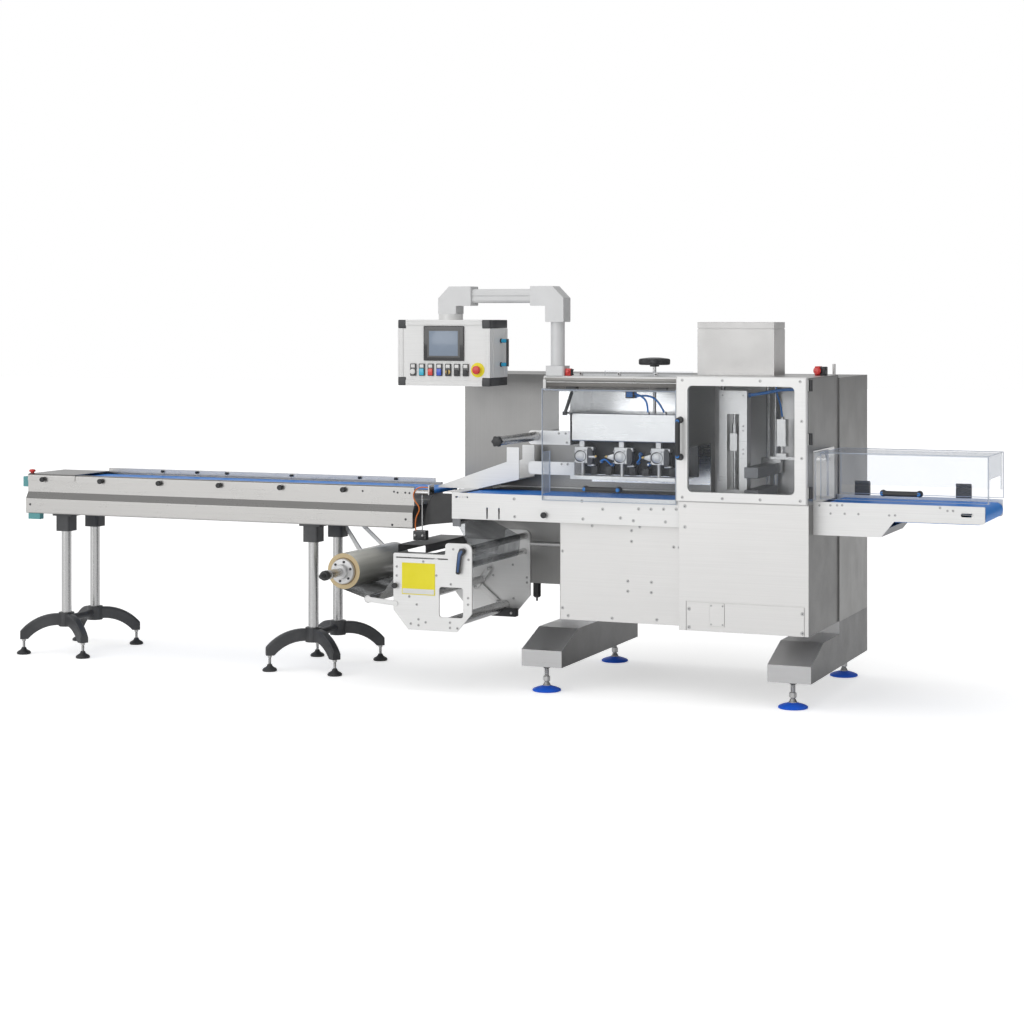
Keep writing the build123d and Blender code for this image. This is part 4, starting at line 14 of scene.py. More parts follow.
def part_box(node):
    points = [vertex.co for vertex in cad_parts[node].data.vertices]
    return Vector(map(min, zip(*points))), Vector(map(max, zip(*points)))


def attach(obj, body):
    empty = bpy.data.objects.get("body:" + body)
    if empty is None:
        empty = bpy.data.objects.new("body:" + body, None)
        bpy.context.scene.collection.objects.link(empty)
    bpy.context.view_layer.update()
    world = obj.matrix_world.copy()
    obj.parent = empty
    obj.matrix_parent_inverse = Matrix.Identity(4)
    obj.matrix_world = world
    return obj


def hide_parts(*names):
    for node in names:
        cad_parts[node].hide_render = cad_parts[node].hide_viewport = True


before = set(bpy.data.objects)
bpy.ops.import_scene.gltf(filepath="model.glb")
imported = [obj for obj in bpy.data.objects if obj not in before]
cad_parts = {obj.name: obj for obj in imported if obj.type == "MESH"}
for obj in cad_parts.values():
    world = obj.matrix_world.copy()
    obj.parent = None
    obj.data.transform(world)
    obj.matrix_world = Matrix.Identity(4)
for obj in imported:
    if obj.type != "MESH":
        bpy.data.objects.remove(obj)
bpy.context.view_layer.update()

# %% [markdown]
# The CAD model was drawn in millimetres from one corner: the left end of the feed rails, on the
# product's centre line, on the floor. Small pieces are placed from the same corner here, so a
# place reads like a dimension on a drawing.

# %% A drawing's corner
RAIL_FRONT = -320.0
MM = 0.001
rail_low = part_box("feed_rails")[0]
corner = Vector((rail_low.x, rail_low.y - RAIL_FRONT * MM, 0.0))


def at(x, y, z):
    """Point given in millimetres from the drawing's corner."""
    return corner + Vector((x, y, z)) * MM


def put(name, data):
    """New object in the scene's collection."""
    made = bpy.data.objects.new(name, data)
    bpy.context.scene.collection.objects.link(made)
    return made


print("corner", corner)

# %% [markdown]
# The camera stands to the right of the machine's middle at a person's eye height. It looks level,
# so that uprights stay upright, and its lens is shifted down to take in the floor.

# %% Camera
CAMERA_PLACE = (4180.2, -9730.0, 1750.0)
CAMERA_LEVEL = 90.0
CAMERA_TURN = 22.3841
SENSOR = 36.0
SIGHT = 80.0
FOCAL_PIXELS = 2197.04
IMAGE_PIXELS = 1024
HORIZON_ROW = 313.0

camera_data = bpy.data.cameras.new("camera")
camera_data.sensor_width = SENSOR
camera_data.lens = FOCAL_PIXELS / IMAGE_PIXELS * SENSOR
camera_data.shift_y = -(IMAGE_PIXELS / 2 - HORIZON_ROW) / IMAGE_PIXELS
camera_data.clip_end = SIGHT
camera = put("camera", camera_data)
camera.location = at(*CAMERA_PLACE)
camera.rotation_euler = (math.radians(CAMERA_LEVEL), 0.0, math.radians(CAMERA_TURN))
bpy.context.scene.camera = camera
print("camera lens", round(camera_data.lens, 2), "mm, shift", round(camera_data.shift_y, 4))

# %% [markdown]
# The room, the floor and every finish are node trees. A few short methods build them: one adds a
# node with its options and feeds its inputs, and the others are the steps that come back often.
# A feed is a plain value or the output of an earlier node.

# %% Node kit
class Tree:
    """A node tree being built."""

    def __init__(self, tree):
        self.nodes, self.links = tree.nodes, tree.links
        self.nodes.clear()

    def feed(self, node, feeds):
        """Fills inputs, by name or number, with plain values or earlier outputs."""
        for socket, value in feeds.items():
            if isinstance(value, bpy.types.NodeSocket):
                self.links.new(value, node.inputs[socket])
            else:
                node.inputs[socket].default_value = value

    def add(self, kind, feeds=None, **options):
        """New node with its options set and its inputs fed."""
        node = self.nodes.new(kind)
        for option, value in options.items():
            setattr(node, option, value)
        self.feed(node, feeds or {})
        return node

    def math(self, operation, first, second=0.0):
        """One math step on two values."""
        return self.add("ShaderNodeMath", {0: first, 1: second}, operation=operation).outputs[0]

    def graded(self, value, low, high, start=0.0, end=1.0, steps="LINEAR"):
        """Value run from start to end while it goes from low to high."""
        feeds = {"From Min": low, "From Max": high, "To Min": start, "To Max": end, "Value": value}
        return self.add("ShaderNodeMapRange", feeds, interpolation_type=steps).outputs["Result"]

    def mixed(self, value, first, second, kind="FLOAT"):
        """Mix of two values or colours."""
        feeds = {"Factor": value, "A": first, "B": second}
        return self.add("ShaderNodeMix", feeds, data_type=kind).outputs["Result"]

    def tone(self, value, first, second):
        """Colour between two tones; either may come from an earlier mix."""
        ends = [(*part, 1.0) if isinstance(part, tuple) else part for part in (first, second)]
        return self.mixed(value, *ends, "RGBA")


print("node kit ready")

# %% [markdown]
# A studio lights a shiny machine with big soft surfaces, and leaves one side and the ceiling
# darker, so that sheet metal shows its folds. The sky of this scene is such a room. The camera
# sees it white. What metal mirrors of it is pale in front and on the left, and darker at the back
# right and overhead.

# %% Studio room
ROOM_BRIGHT = 0.66
ROOM_DARK = 0.28
GLOSS_BRIGHT = 0.8
GLOSS_DARK = 0.08
DARK_SIDE = (0.8, 0.6, 0.0)
CEILING_SHARE = 0.42
WHITE = (1.0, 1.0, 1.0, 1.0)


def make_room():
    """World that is white to the camera and sheds graded light on the object."""
    world = bpy.data.worlds.new("studio")
    bpy.context.scene.world = world
    world.use_nodes = True
    tree = Tree(world.node_tree)
    way = tree.add("ShaderNodeTexCoord").outputs["Generated"]
    towards = tree.add("ShaderNodeVectorMath", {0: way, 1: DARK_SIDE}, operation="DOT_PRODUCT")
    side = towards.outputs["Value"]
    up = tree.add("ShaderNodeSeparateXYZ", {0: way}).outputs["Z"]
    shed = tree.graded(side, 0.0, 0.9, ROOM_BRIGHT, ROOM_DARK, "SMOOTHSTEP")
    walls = tree.graded(side, 0.1, 0.9, GLOSS_BRIGHT, GLOSS_DARK, "SMOOTHSTEP")
    ceiling = tree.graded(up, 0.3, 0.8, 1.0, CEILING_SHARE, "SMOOTHSTEP")
    mirrored = tree.math("MULTIPLY", walls, ceiling)
    rays = tree.add("ShaderNodeLightPath").outputs
    on_object = tree.mixed(rays["Is Glossy Ray"], shed, mirrored)
    seen = tree.math("MAXIMUM", rays["Is Camera Ray"], rays["Is Transmission Ray"])
    strength = tree.mixed(seen, on_object, 1.0)
    light = tree.add("ShaderNodeBackground", {"Color": WHITE, "Strength": strength})
    tree.add("ShaderNodeOutputWorld", {0: light.outputs[0]})


make_room()
print("room light", ROOM_DARK, "to", ROOM_BRIGHT)

# %% [markdown]
# Two weak lamps give the light a direction. Each is a sun with a very wide disc, because a small
# one would draw hard shadows that a studio doesn't have. The key comes from the front left, and
# the fill from above.

# %% Lamps
LAMPS = {
    "key": ((0.36, 0.93, -0.08), 0.62, 40.0),
    "fill": ((0.25, 0.3, -0.92), 0.5, 60.0),
}

for name, (aim, strength, spread) in LAMPS.items():
    lamp = bpy.data.lights.new(name, "SUN")
    lamp.energy = strength
    lamp.angle = math.radians(spread)
    put(name, lamp).rotation_euler = Vector(aim).to_track_quat("-Z", "Y").to_euler()
print("lamps", sorted(LAMPS))

# %% [markdown]
# The floor is a wide pale sheet. It takes the soft shadows under the feet, and for the camera it
# gives off a little light of its own, so that it runs into the white room without a line.

# %% Floor
FLOOR_REACH = 40.0
FLOOR_TONES = ((0.87, 0.87, 0.87), (0.9, 0.9, 0.9))
MOTTLE_SCALE = 3.0
FLOOR_GLOW = 0.5
GLOW_SHARES = {"Is Camera Ray": 1.0, "Is Transmission Ray": 1.0, "Is Glossy Ray": 0.3}


def floor_paint():
    """Pale paint with a faint mottle and a glow whose strength depends on who looks."""
    material = bpy.data.materials.new("floor_paint")
    material.use_nodes = True
    tree = Tree(material.node_tree)
    place = tree.add("ShaderNodeTexCoord").outputs["Object"]
    mottle = tree.add("ShaderNodeTexNoise", {"Scale": MOTTLE_SCALE, "Vector": place})
    paint = tree.add("ShaderNodeBsdfDiffuse",
                     {"Color": tree.tone(mottle.outputs["Fac"], *FLOOR_TONES)})
    rays = tree.add("ShaderNodeLightPath").outputs
    strength = 0.0
    for ray, share in GLOW_SHARES.items():
        glow = tree.math("MULTIPLY", rays[ray], share * FLOOR_GLOW)
        strength = tree.math("MAXIMUM", strength, glow)
    lamp = tree.add("ShaderNodeEmission", {"Strength": strength})
    both = tree.add("ShaderNodeAddShader", {0: paint.outputs[0], 1: lamp.outputs[0]})
    tree.add("ShaderNodeOutputMaterial", {"Surface": both.outputs[0]})
    return material


floor_mesh = bpy.data.meshes.new("studio_floor")
floor_corners = [(x * FLOOR_REACH, y * FLOOR_REACH, 0.0)
                 for x, y in ((-1, -1), (1, -1), (1, 1), (-1, 1))]
floor_mesh.from_pydata(floor_corners, [], [(0, 1, 2, 3)])
floor = put("studio_floor", floor_mesh)
floor_mesh.materials.append(floor_paint())
print("floor reaches", FLOOR_REACH, "m")

# %% [markdown]
# Every finish starts from the same small kit: object coordinates, stretched noise for grain,
# mixes of two tones, and a bump. A bevel node rounds the light on sharp CAD edges, which real
# sheet and castings never have perfectly sharp. Most of a noise lies between 0.3 and 0.7, so tones
# are graded over that range.

# %% Finish kit
finishes = {}
EDGE = 1.2
EVEN = (1.0, 1.0, 1.0)
MOST = (0.3, 0.7)


class Finish(Tree):
    """A material being built: its node tree and its main shader."""

    def __init__(self, name, edge=EDGE):
        finishes[name] = bpy.data.materials.new(name)
        finishes[name].use_nodes = True
        super().__init__(finishes[name].node_tree)
        self.shader = self.add("ShaderNodeBsdfPrincipled")
        self.output = self.add("ShaderNodeOutputMaterial", {"Surface": self.shader.outputs[0]})
        self.place = self.add("ShaderNodeTexCoord").outputs
        self.normal = None
        if edge:
            bevel = self.add("ShaderNodeBevel", {"Radius": edge * MM}, samples=3)
            self.normal = bevel.outputs["Normal"]
            self.set(Normal=self.normal)

    def set(self, **feeds):
        """Feeds the main shader, by socket name with _ for a space."""
        self.feed(self.shader, {name.replace("_", " "): value for name, value in feeds.items()})

    def noise(self, scale, stretch=EVEN, detail=3.0, rough=0.5):
        """Noise value over the surface, each axis stretched by its own factor."""
        place = self.add("ShaderNodeMapping", {"Scale": stretch, "Vector": self.place["Object"]})
        feeds = {"Scale": scale, "Detail": detail, "Roughness": rough, "Vector": place.outputs[0]}
        return self.add("ShaderNodeTexNoise", feeds).outputs["Fac"]

    def axis(self, letter, source="Object"):
        """One coordinate of the surface, in metres, or of its normal."""
        return self.add("ShaderNodeSeparateXYZ", {0: self.place[source]}).outputs[letter]

    def facing(self, letter):
        """1 where the surface faces along an axis, either way, and 0 where it runs along it."""
        return self.math("ABSOLUTE", self.axis(letter, "Normal"))

    def bump(self, value, strength, distance):
        """Raises the surface by a value, on top of the rounded edges."""
        feeds = {"Strength": strength, "Distance": distance * MM, "Height": value}
        if self.normal:
            feeds["Normal"] = self.normal
        self.normal = self.add("ShaderNodeBump", feeds).outputs["Normal"]
        self.set(Normal=self.normal)

    def see_through(self, amount, tint):
        """Lays the main shader, by an amount, over a see-through part."""
        clear_part = self.add("ShaderNodeBsdfTransparent", {"Color": (*tint, 1.0)})
        feeds = {"Fac": amount, 1: clear_part.outputs[0], 2: self.shader.outputs[0]}
        self.feed(self.output, {"Surface": self.add("ShaderNodeMixShader", feeds).outputs[0]})


print("finish kit ready")

# %% [markdown]
# The covers are stainless sheet, ground in one direction. The grain is noise drawn out along the
# direction of grinding, used three times: in the tone, in the roughness and as a very low bump.
# A second, wide noise stands for the slight waviness of thin sheet, as a bump and as a faint
# painted sheen in the tone. The faces that look along the machine and those that slope back also
# get a tone of their own, which is painted light and shade by the way the lamps fall on them.

# %% Brushed sheet
GRAINS = {"X": (2.5, 300.0, 420.0), "Y": (300.0, 2.5, 420.0), "Z": (420.0, 300.0, 2.5)}


def scaled(tone, factor):
    """A lighter or darker tone."""
    return tuple(min(1.0, part * factor) for part in tone)


def brushed(name, tone, rough, grain, metal=0.92, wave=0.5, side=1.0, lean_painted_tone=None):
    """Ground sheet, grain along one axis; painted light and shade on end and sloping faces."""
    finish = Finish(name)
    lines = finish.noise(1.0, GRAINS[grain], 4.0, 0.6)
    cloud = finish.noise(1.6, detail=2.0)
    handled = finish.noise(7.0, detail=5.0, rough=0.65)
    light = scaled(tone, 1.04)
    ground = finish.tone(finish.graded(lines, *MOST), scaled(tone, 0.95), light)
    # Faint painted sheen: the wide noise lightens the grained tone in soft patches.
    grain_and_painted_sheen = finish.tone(finish.graded(cloud, 0.35, 0.65, 0.0, 0.45), ground, light)
    # Painted light and shade: faces that look along the machine take the tone scaled by side.
    painted_end_light_shade = finish.graded(finish.facing("X"), 0.6, 0.9)
    shaded = finish.tone(painted_end_light_shade, grain_and_painted_sheen, scaled(tone, side))
    # Painted light and shade: upward sloping faces take the tone scaled by the slope factor.
    if lean_painted_tone:
        painted_lean_light_shade = finish.graded(finish.axis("Z", "Normal"), 0.12, 0.3)
        shaded = finish.tone(painted_lean_light_shade, shaded, scaled(tone, lean_painted_tone))
    streak = finish.graded(lines, 0.25, 0.75, rough - 0.05, rough + 0.06)
    smudge = finish.graded(handled, 0.35, 0.7, -0.03, 0.05)
    finish.set(Base_Color=shaded, Roughness=finish.math("ADD", streak, smudge), Metallic=metal)
    finish.bump(cloud, 0.12 * wave, 3.0)
    finish.bump(lines, 0.06, 0.05)


# The side factors below are painted shade under 1 and painted light over 1; the slope factors on
# the legs and the conveyor work the same way.
brushed("ground_sheet", (0.66, 0.655, 0.648), 0.36, "X", side=0.32)
brushed("ground_sheet_upright", (0.28, 0.278, 0.274), 0.34, "Z", side=1.1)
brushed("chamber_sheet", (0.42, 0.417, 0.412), 0.34, "Z", side=0.72)
brushed("hood_sheet", (0.46, 0.456, 0.451), 0.36, "Z", side=2.1)
brushed("leg_sheet", (0.5, 0.5, 0.505), 0.34, "X", wave=0.7, side=0.32, lean_painted_tone=1.8)
brushed("conveyor_sheet", (0.52, 0.512, 0.5), 0.3, "X", wave=0.8, lean_painted_tone=0.46)
brushed("turned_steel", (0.6, 0.6, 0.6), 0.24, "Y", metal=1.0, wave=0.0)
brushed("dark_sheet", (0.2, 0.205, 0.215), 0.38, "X", metal=0.8)
brushed("light_plate", (0.8, 0.8, 0.795), 0.4, "X", metal=0.45, wave=0.2)
brushed("panel_sheet", (0.8, 0.8, 0.795), 0.4, "X", metal=0.15, wave=0.2, side=1.15)
brushed("pale_cover", (0.7, 0.7, 0.695), 0.3, "X", metal=0.9, wave=0.1)
# A lighter copy of the steel cover finish for the back plate: painted light in the canopy's shade.
brushed("painted_light_back", (0.98, 0.98, 0.975), 0.26, "X", metal=0.95, wave=0.1)
print("brushed finishes", sorted(finishes))

# %% [markdown]
# Paint, moulded plastic and rubber have no grain, but they are never one flat colour either.
# A little mottle in the tone, a fine bump such as an orange skin or a moulded texture, and
# rougher patches where hands touch are enough to make them read as real. Small metal parts and
# castings take the same finish with Metallic raised.

# %% Painted and moulded finishes
def plain(name, tone, rough, texture=900.0, depth=0.04, wear=0.06, metal=0.0, edge=EDGE, coat=0.0,
          shine=0.5):
    """Moulded, painted or rubbed finish with fine texture and uneven gloss."""
    finish = Finish(name, edge)
    grain = finish.noise(texture, detail=2.0)
    patch = finish.noise(5.0, detail=4.0, rough=0.6)
    light = tuple(min(1.0, part + wear * 0.5) for part in tone)
    mottled = finish.tone(finish.graded(patch, *MOST), scaled(tone, 1.0 - wear), light)
    uneven = finish.graded(patch, *MOST, rough - 0.05, rough + 0.06)
    finish.set(Base_Color=mottled, Roughness=uneven, Metallic=metal, Coat_Weight=coat,
               Specular_IOR_Level=shine)
    finish.bump(grain, 0.25, depth)


plain("arm_paint", (0.75, 0.755, 0.76), 0.34, coat=0.2)
plain("black_plastic", (0.022, 0.023, 0.026), 0.38)
plain("black_casting", (0.03, 0.032, 0.036), 0.46, texture=420.0, depth=0.12, wear=0.12)
plain("blue_plastic", (0.001, 0.12, 0.8), 0.4, shine=0.2)
plain("blue_fitting", (0.02, 0.2, 0.6), 0.3)
plain("teal_plastic", (0.1, 0.36, 0.38), 0.42)
plain("cyan_plastic", (0.02, 0.42, 0.7), 0.35)
plain("red_plastic", (0.72, 0.02, 0.015), 0.28, coat=0.4)
plain("yellow_plastic", (0.94, 0.83, 0.005), 0.35)
plain("white_plastic", (0.84, 0.84, 0.83), 0.4)
plain("hose_blue", (0.01, 0.26, 0.85), 0.36)
plain("cable_orange", (0.78, 0.2, 0.02), 0.45)
plain("brass", (0.62, 0.44, 0.16), 0.3, metal=1.0)
plain("bolt_steel", (0.5, 0.5, 0.5), 0.3, metal=1.0, edge=0)
plain("bolt_dark", (0.05, 0.05, 0.055), 0.35, metal=0.4, edge=0)
plain("blue_deep", (0.01, 0.07, 0.22), 0.3, coat=0.3)
plain("black_gloss", (0.02, 0.02, 0.022), 0.2, coat=0.5)
plain("bezel_grey", (0.13, 0.13, 0.13), 0.35)
plain("cyan_lens", (0.02, 0.5, 0.72), 0.2, coat=0.6)
plain("red_lens", (0.8, 0.04, 0.02), 0.2, coat=0.6)
plain("blue_lens", (0.01, 0.08, 0.6), 0.2, coat=0.6)
plain("grey_pad", (0.09, 0.09, 0.095), 0.5)
# The two canopy lip strips are painted reflection: dark tones that stand for the dark machine
# mirrored in the lip.
plain("lip_painted_reflection", (0.23, 0.225, 0.215), 0.3, metal=0.8)
plain("painted_reflection_strip", (0.09, 0.086, 0.082), 0.26, metal=0.8)
plain("acrylic_edge", (0.5, 0.56, 0.66), 0.25, edge=0)
plain("card_core", (0.3, 0.2, 0.1), 0.7)
plain("cast_light", (0.68, 0.68, 0.68), 0.4, metal=0.7, texture=500.0, depth=0.08)
plain("smoked_sheet", (0.03, 0.03, 0.032), 0.34)
plain("screen_glass", (0.25, 0.31, 0.4), 0.22, coat=0.3, edge=0)
print("finishes so far", len(finishes))

# %% [markdown]
# The belts are blue plastic with a fine fabric pattern pressed in: two waves across each other
# make the weave, and long faint streaks show where goods have slid.

# %% Belt
WEAVE_SCALE = 130.0
BELT_BLUE = (0.025, 0.23, 0.76)
BELT_WORN = (0.06, 0.32, 0.88)
BELT_DEEP = (0.02, 0.16, 0.58)


def belt():
    """Blue conveyor belt with a woven top."""
    finish = Finish("belt_blue", 0.8)
    waves = [finish.add("ShaderNodeTexWave",
                        {"Scale": WEAVE_SCALE, "Distortion": 0.4, "Vector": finish.place["Object"]},
                        bands_direction=direction).outputs["Fac"] for direction in ("X", "Y")]
    weave = finish.math("MULTIPLY", *waves)
    streak = finish.noise(1.0, (0.8, 60.0, 8.0), 3.0)
    worn = finish.tone(finish.graded(streak, 0.35, 0.7), BELT_BLUE, BELT_WORN)
    woven = finish.tone(finish.graded(weave, 0.0, 1.0, 0.0, 0.25), worn, BELT_DEEP)
    finish.set(Base_Color=woven, Roughness=finish.graded(streak, *MOST, 0.36, 0.52),
               Specular_IOR_Level=0.2)
    finish.bump(weave, 0.2, 0.15)


belt()
print("belt finish ready")

# %% [markdown]
# Guards are clear sheet. A clear sheet shows by the room that it mirrors at a slant, by a little
# haze, and mostly at its cut edges, which get their own thin strips later. So the finish is nearly
# all see-through, with a glossy part that Fresnel makes stronger at a slant.

# %% Clear sheet
SHEET_INDEX = 1.49
GLOSS_INDEX = 1.3
GLOSS_SHARE = 0.5


def clear(name, tint, haze):
    """See-through sheet with a faint haze and a gloss that grows at a slant."""
    finish = Finish(name, 0)
    dust = finish.noise(2.5, detail=5.0, rough=0.7)
    finish.set(Base_Color=finish.tone(dust, (0.8, 0.83, 0.86), (0.9, 0.92, 0.94)),
               Roughness=finish.graded(dust, 0.35, 0.7, 0.03, 0.1), IOR=SHEET_INDEX)
    slant = finish.add("ShaderNodeFresnel", {"IOR": GLOSS_INDEX}).outputs[0]
    finish.see_through(finish.math("ADD", finish.math("MULTIPLY", slant, GLOSS_SHARE),
                                   finish.graded(dust, 0.4, 0.75, haze * 0.4, haze)), tint)


clear("front_guard_sheet", (0.975, 0.982, 0.99), 0.025)
clear("door_sheet", (0.94, 0.945, 0.95), 0.03)
clear("tunnel_sheet", (0.97, 0.975, 0.985), 0.035)
print("clear finishes ready")

# %% [markdown]
# Packaging film is thin and glossy, and many layers of it on a reel turn grey and straw-coloured.
# The reel's ends show the cut edges of the layers, so the finish asks which way the surface
# faces: towards an end it is tan with fine rings, round the outside it is smoky and streaked,
# with painted shade that darkens it towards its underside.

# %% Film on the reel
REEL_PLACE = (-490.0, -470.0, 535.0)
RING_RATE = 4200.0
CUT_DARK, CUT_LIGHT = (0.58, 0.44, 0.24), (0.74, 0.6, 0.36)
WOUND_DARK, WOUND_LIGHT = (0.56, 0.56, 0.51), (0.84, 0.83, 0.76)
WOUND_PAINTED_UNDERSHADE = (0.2, 0.2, 0.18)


def film_on_reel():
    """Wound film: smoky outside with painted shade underneath, tan cut edges with rings."""
    finish = Finish("film_wound", 0.6)
    facing = finish.facing("Y")
    streak = finish.noise(1.0, (6.0, 1.2, 30.0), 4.0)
    streaked = finish.tone(finish.graded(streak, *MOST), WOUND_DARK, WOUND_LIGHT)
    # Painted shade: the outside darkens towards the faces that look down.
    painted_shade_by_facing = finish.graded(finish.axis("Z", "Normal"), -0.5, 0.5)
    outside = finish.tone(painted_shade_by_facing, WOUND_PAINTED_UNDERSHADE, streaked)
    centre = at(*REEL_PLACE)
    across = finish.math("SUBTRACT", finish.axis("X"), centre.x)
    up = finish.math("SUBTRACT", finish.axis("Z"), centre.z)
    squares = [finish.math("MULTIPLY", part, part) for part in (across, up)]
    radius = finish.math("SQRT", finish.math("ADD", *squares))
    rings = finish.math("SINE", finish.math("MULTIPLY", radius, RING_RATE))
    layers = finish.tone(finish.graded(rings, -1.0, 1.0), CUT_DARK, CUT_LIGHT)
    finish.set(Base_Color=finish.tone(finish.graded(facing, 0.6, 0.7), outside, layers),
               Roughness=finish.graded(facing, 0.6, 0.7, 0.22, 0.6),
               Coat_Weight=0.3, Coat_Roughness=0.12)
    finish.bump(streak, 0.2, 0.6)


film_on_reel()
print("reel axis at", REEL_PLACE[0], REEL_PLACE[2])

# %% [markdown]
# Between the reel and the rollers the film is a single layer that lets the rear plate show
# through. Its grey tones, darker in its creases, are painted shade over the rear plate seen through
# it. Beside the reel, where it is seen at a slant, it is painted darker and denser still, so the
# finish changes along the machine, from the place where the film leaves the reel to where it is
# clear.

# %% Film web
WEB_LEAVES_REEL = -300.0
WEB_TURNS_CLEAR = -190.0
WEB_PAINTED_SHADE_DEEP, WEB_PAINTED_SHADE_PALE = (0.42, 0.43, 0.44), (0.78, 0.79, 0.8)
WEB_PAINTED_SHADE_BY_REEL = (0.16, 0.16, 0.14)
WEB_TINT = (0.88, 0.89, 0.9)


def film_web():
    """Single layer of clear film in painted shade, darkest beside the reel."""
    finish = Finish("film_web", 0)
    crease = finish.noise(1.0, (3.0, 9.0, 3.0), 4.0)
    # Painted shade: grey tones, darker in the creases, that darken the rear plate behind.
    creased_painted_shade = finish.tone(finish.graded(crease, *MOST), WEB_PAINTED_SHADE_DEEP, WEB_PAINTED_SHADE_PALE)
    clear_end, reel_end = (at(x, 0, 0).x for x in (WEB_TURNS_CLEAR, WEB_LEAVES_REEL))
    # Painted shade beside the reel, darker and denser towards the reel.
    painted_shade_by_reel = finish.graded(finish.axis("X"), clear_end, reel_end)
    finish.set(Base_Color=finish.tone(painted_shade_by_reel, creased_painted_shade, WEB_PAINTED_SHADE_BY_REEL), Roughness=0.16)
    finish.bump(crease, 0.3, 2.0)
    finish.see_through(finish.math("ADD", finish.graded(crease, 0.35, 0.7, 0.1, 0.38),
                                   finish.math("MULTIPLY", painted_shade_by_reel, 0.5)), WEB_TINT)


film_web()
print("all finishes", len(finishes))

# %% [markdown]
# Each CAD piece now gets its finish. The mesh of a CAD piece is never touched: only the material
# in its slots changes.

# %% Dress the CAD pieces
DRESS = {
    "ground_sheet": ("middle_cabinet", "sealing_cabinet", "chamber_shell"),
    "hood_sheet": ("hood",),
    "chamber_sheet": ("chamber_side_walls",),
    "pale_cover": ("fin_seal_cover", "jaw_column", "fin_seal_bar"),
    "painted_light_back": ("back_plate",),
    "ground_sheet_upright": ("electrical_cabinet",),
    "conveyor_sheet": ("infeed_sides", "infeed_covers"),
    "leg_sheet": ("machine_legs",),
    "turned_steel": (
        "stand_columns", "foot_stems", "film_rollers", "belt_rollers", "reel_shaft",
        "adjusting_spindle", "jaw_guides", "sensor_mount",
    ),
    "dark_sheet": ("belt_beds", "sealing_jaws"),
    "light_plate": (
        "feed_rails", "forming_box", "film_brackets", "top_canopy", "door_frame", "outfeed_sides",
        "entry_plate", "unwind_plates",
    ),
    "panel_sheet": ("panel_box",),
    "cast_light": ("fin_seal_wheels",),
    "arm_paint": ("panel_arm", "arm_base"),
    "black_plastic": (
        "knobs", "hinges", "handwheel", "front_guard_handle", "outfeed_guard_handle", "door_handle",
        "panel_fittings", "panel_screen", "panel_controls", "guard_strut", "filter_bowl",
    ),
    "black_casting": ("stand_castings", "stand_feet"),
    "blue_plastic": ("foot_pads",),
    "teal_plastic": ("infeed_switches",),
    "red_plastic": ("stop_buttons",),
    "belt_blue": ("conveyor_belts",),
    "hose_blue": ("air_hoses",),
    "cable_orange": ("sensor_cable",),
    "front_guard_sheet": ("front_guard",),
    "door_sheet": ("door_pane",),
    "tunnel_sheet": ("outfeed_guard",),
    "film_wound": ("film_reel",),
    "film_web": ("film_web",),
    "smoked_sheet": ("film_curtain",),
}

for finish, names in DRESS.items():
    for name in names:
        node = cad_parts[name]
        if not node.material_slots:
            node.data.materials.append(finishes[finish])
        for place in node.material_slots:
            place.material = finishes[finish]
left_bare = set(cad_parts) - {name for names in DRESS.values() for name in names}
print("dressed", len(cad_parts), "bare", left_bare)

# %% [markdown]
# The small turned, moulded and machined parts need only a few kinds of mesh. The first is a block
# with rounded edges, because even a machined corner is broken a little and catches the light.

# %% Blocks
def block(low, high, edge=1.5, rounds=2):
    """Block between two corners with rounded edges."""
    shape = bmesh.new()
    bmesh.ops.create_cube(shape, size=1.0)
    size = Vector(high) - Vector(low)
    middle = (Vector(high) + Vector(low)) / 2
    for vertex in shape.verts:
        vertex.co = Vector([part * length for part, length in zip(vertex.co, size)]) + middle
    edge = min(edge, min(size) * 0.45)
    bmesh.ops.bevel(shape, geom=shape.edges[:], offset=edge, segments=rounds, affect="EDGES",
                    profile=0.5)
    return shape


print("blocks ready")

# %% [markdown]
# The second is a profile turned round an axis, as on a lathe. Feet, knobs, buttons, nuts and
# rollers are all made so: a nut is a turned disc with six steps, and a hand knob with lobes is a
# turned disc whose radius follows a wave.

# %% Turned shapes
WAYS = {"X": (1, 0, 0), "-X": (-1, 0, 0), "Y": (0, 1, 0), "-Y": (0, -1, 0), "Z": (0, 0, 1),
        "-Z": (0, 0, -1)}


def turned(profile, base, way="Z", steps=24, lobes=0, depth=0.0):
    """Turns (radius, height) pairs round an axis at base, closed by flat ends."""
    flat_low = [(0, profile[0][1])] if profile[0][0] else []
    flat_high = [(0, profile[-1][1])] if profile[-1][0] else []
    rim = max(radius for radius, height in profile)
    shape = bmesh.new()
    rings = []
    for radius, height in flat_low + list(profile) + flat_high:
        ring = []
        for step in range(steps if radius else 1):
            angle = math.tau * step / steps
            reach = radius - depth * (0.5 - 0.5 * math.cos(lobes * angle)) * radius / rim
            ring.append(shape.verts.new((reach * math.cos(angle), reach * math.sin(angle), height)))
        rings.append(ring)
    for below, above in zip(rings, rings[1:]):
        for step in range(steps):
            after = (step + 1) % steps
            corners = (below[step % len(below)], below[after % len(below)],
                       above[after % len(above)], above[step % len(above)])
            shape.faces.new(list(dict.fromkeys(corners)))
    turn = Vector(WAYS["Z"]).rotation_difference(Vector(WAYS[way])).to_matrix().to_4x4()
    bmesh.ops.transform(shape, matrix=Matrix.Translation(Vector(base)) @ turn, verts=shape.verts)
    return shape


def cap(radius, side, top, height):
    """Profile of a disc whose rim leans in above its side."""
    return [(radius, 0), (radius, side), (top, height)]


print("turned shapes point", sorted(WAYS))

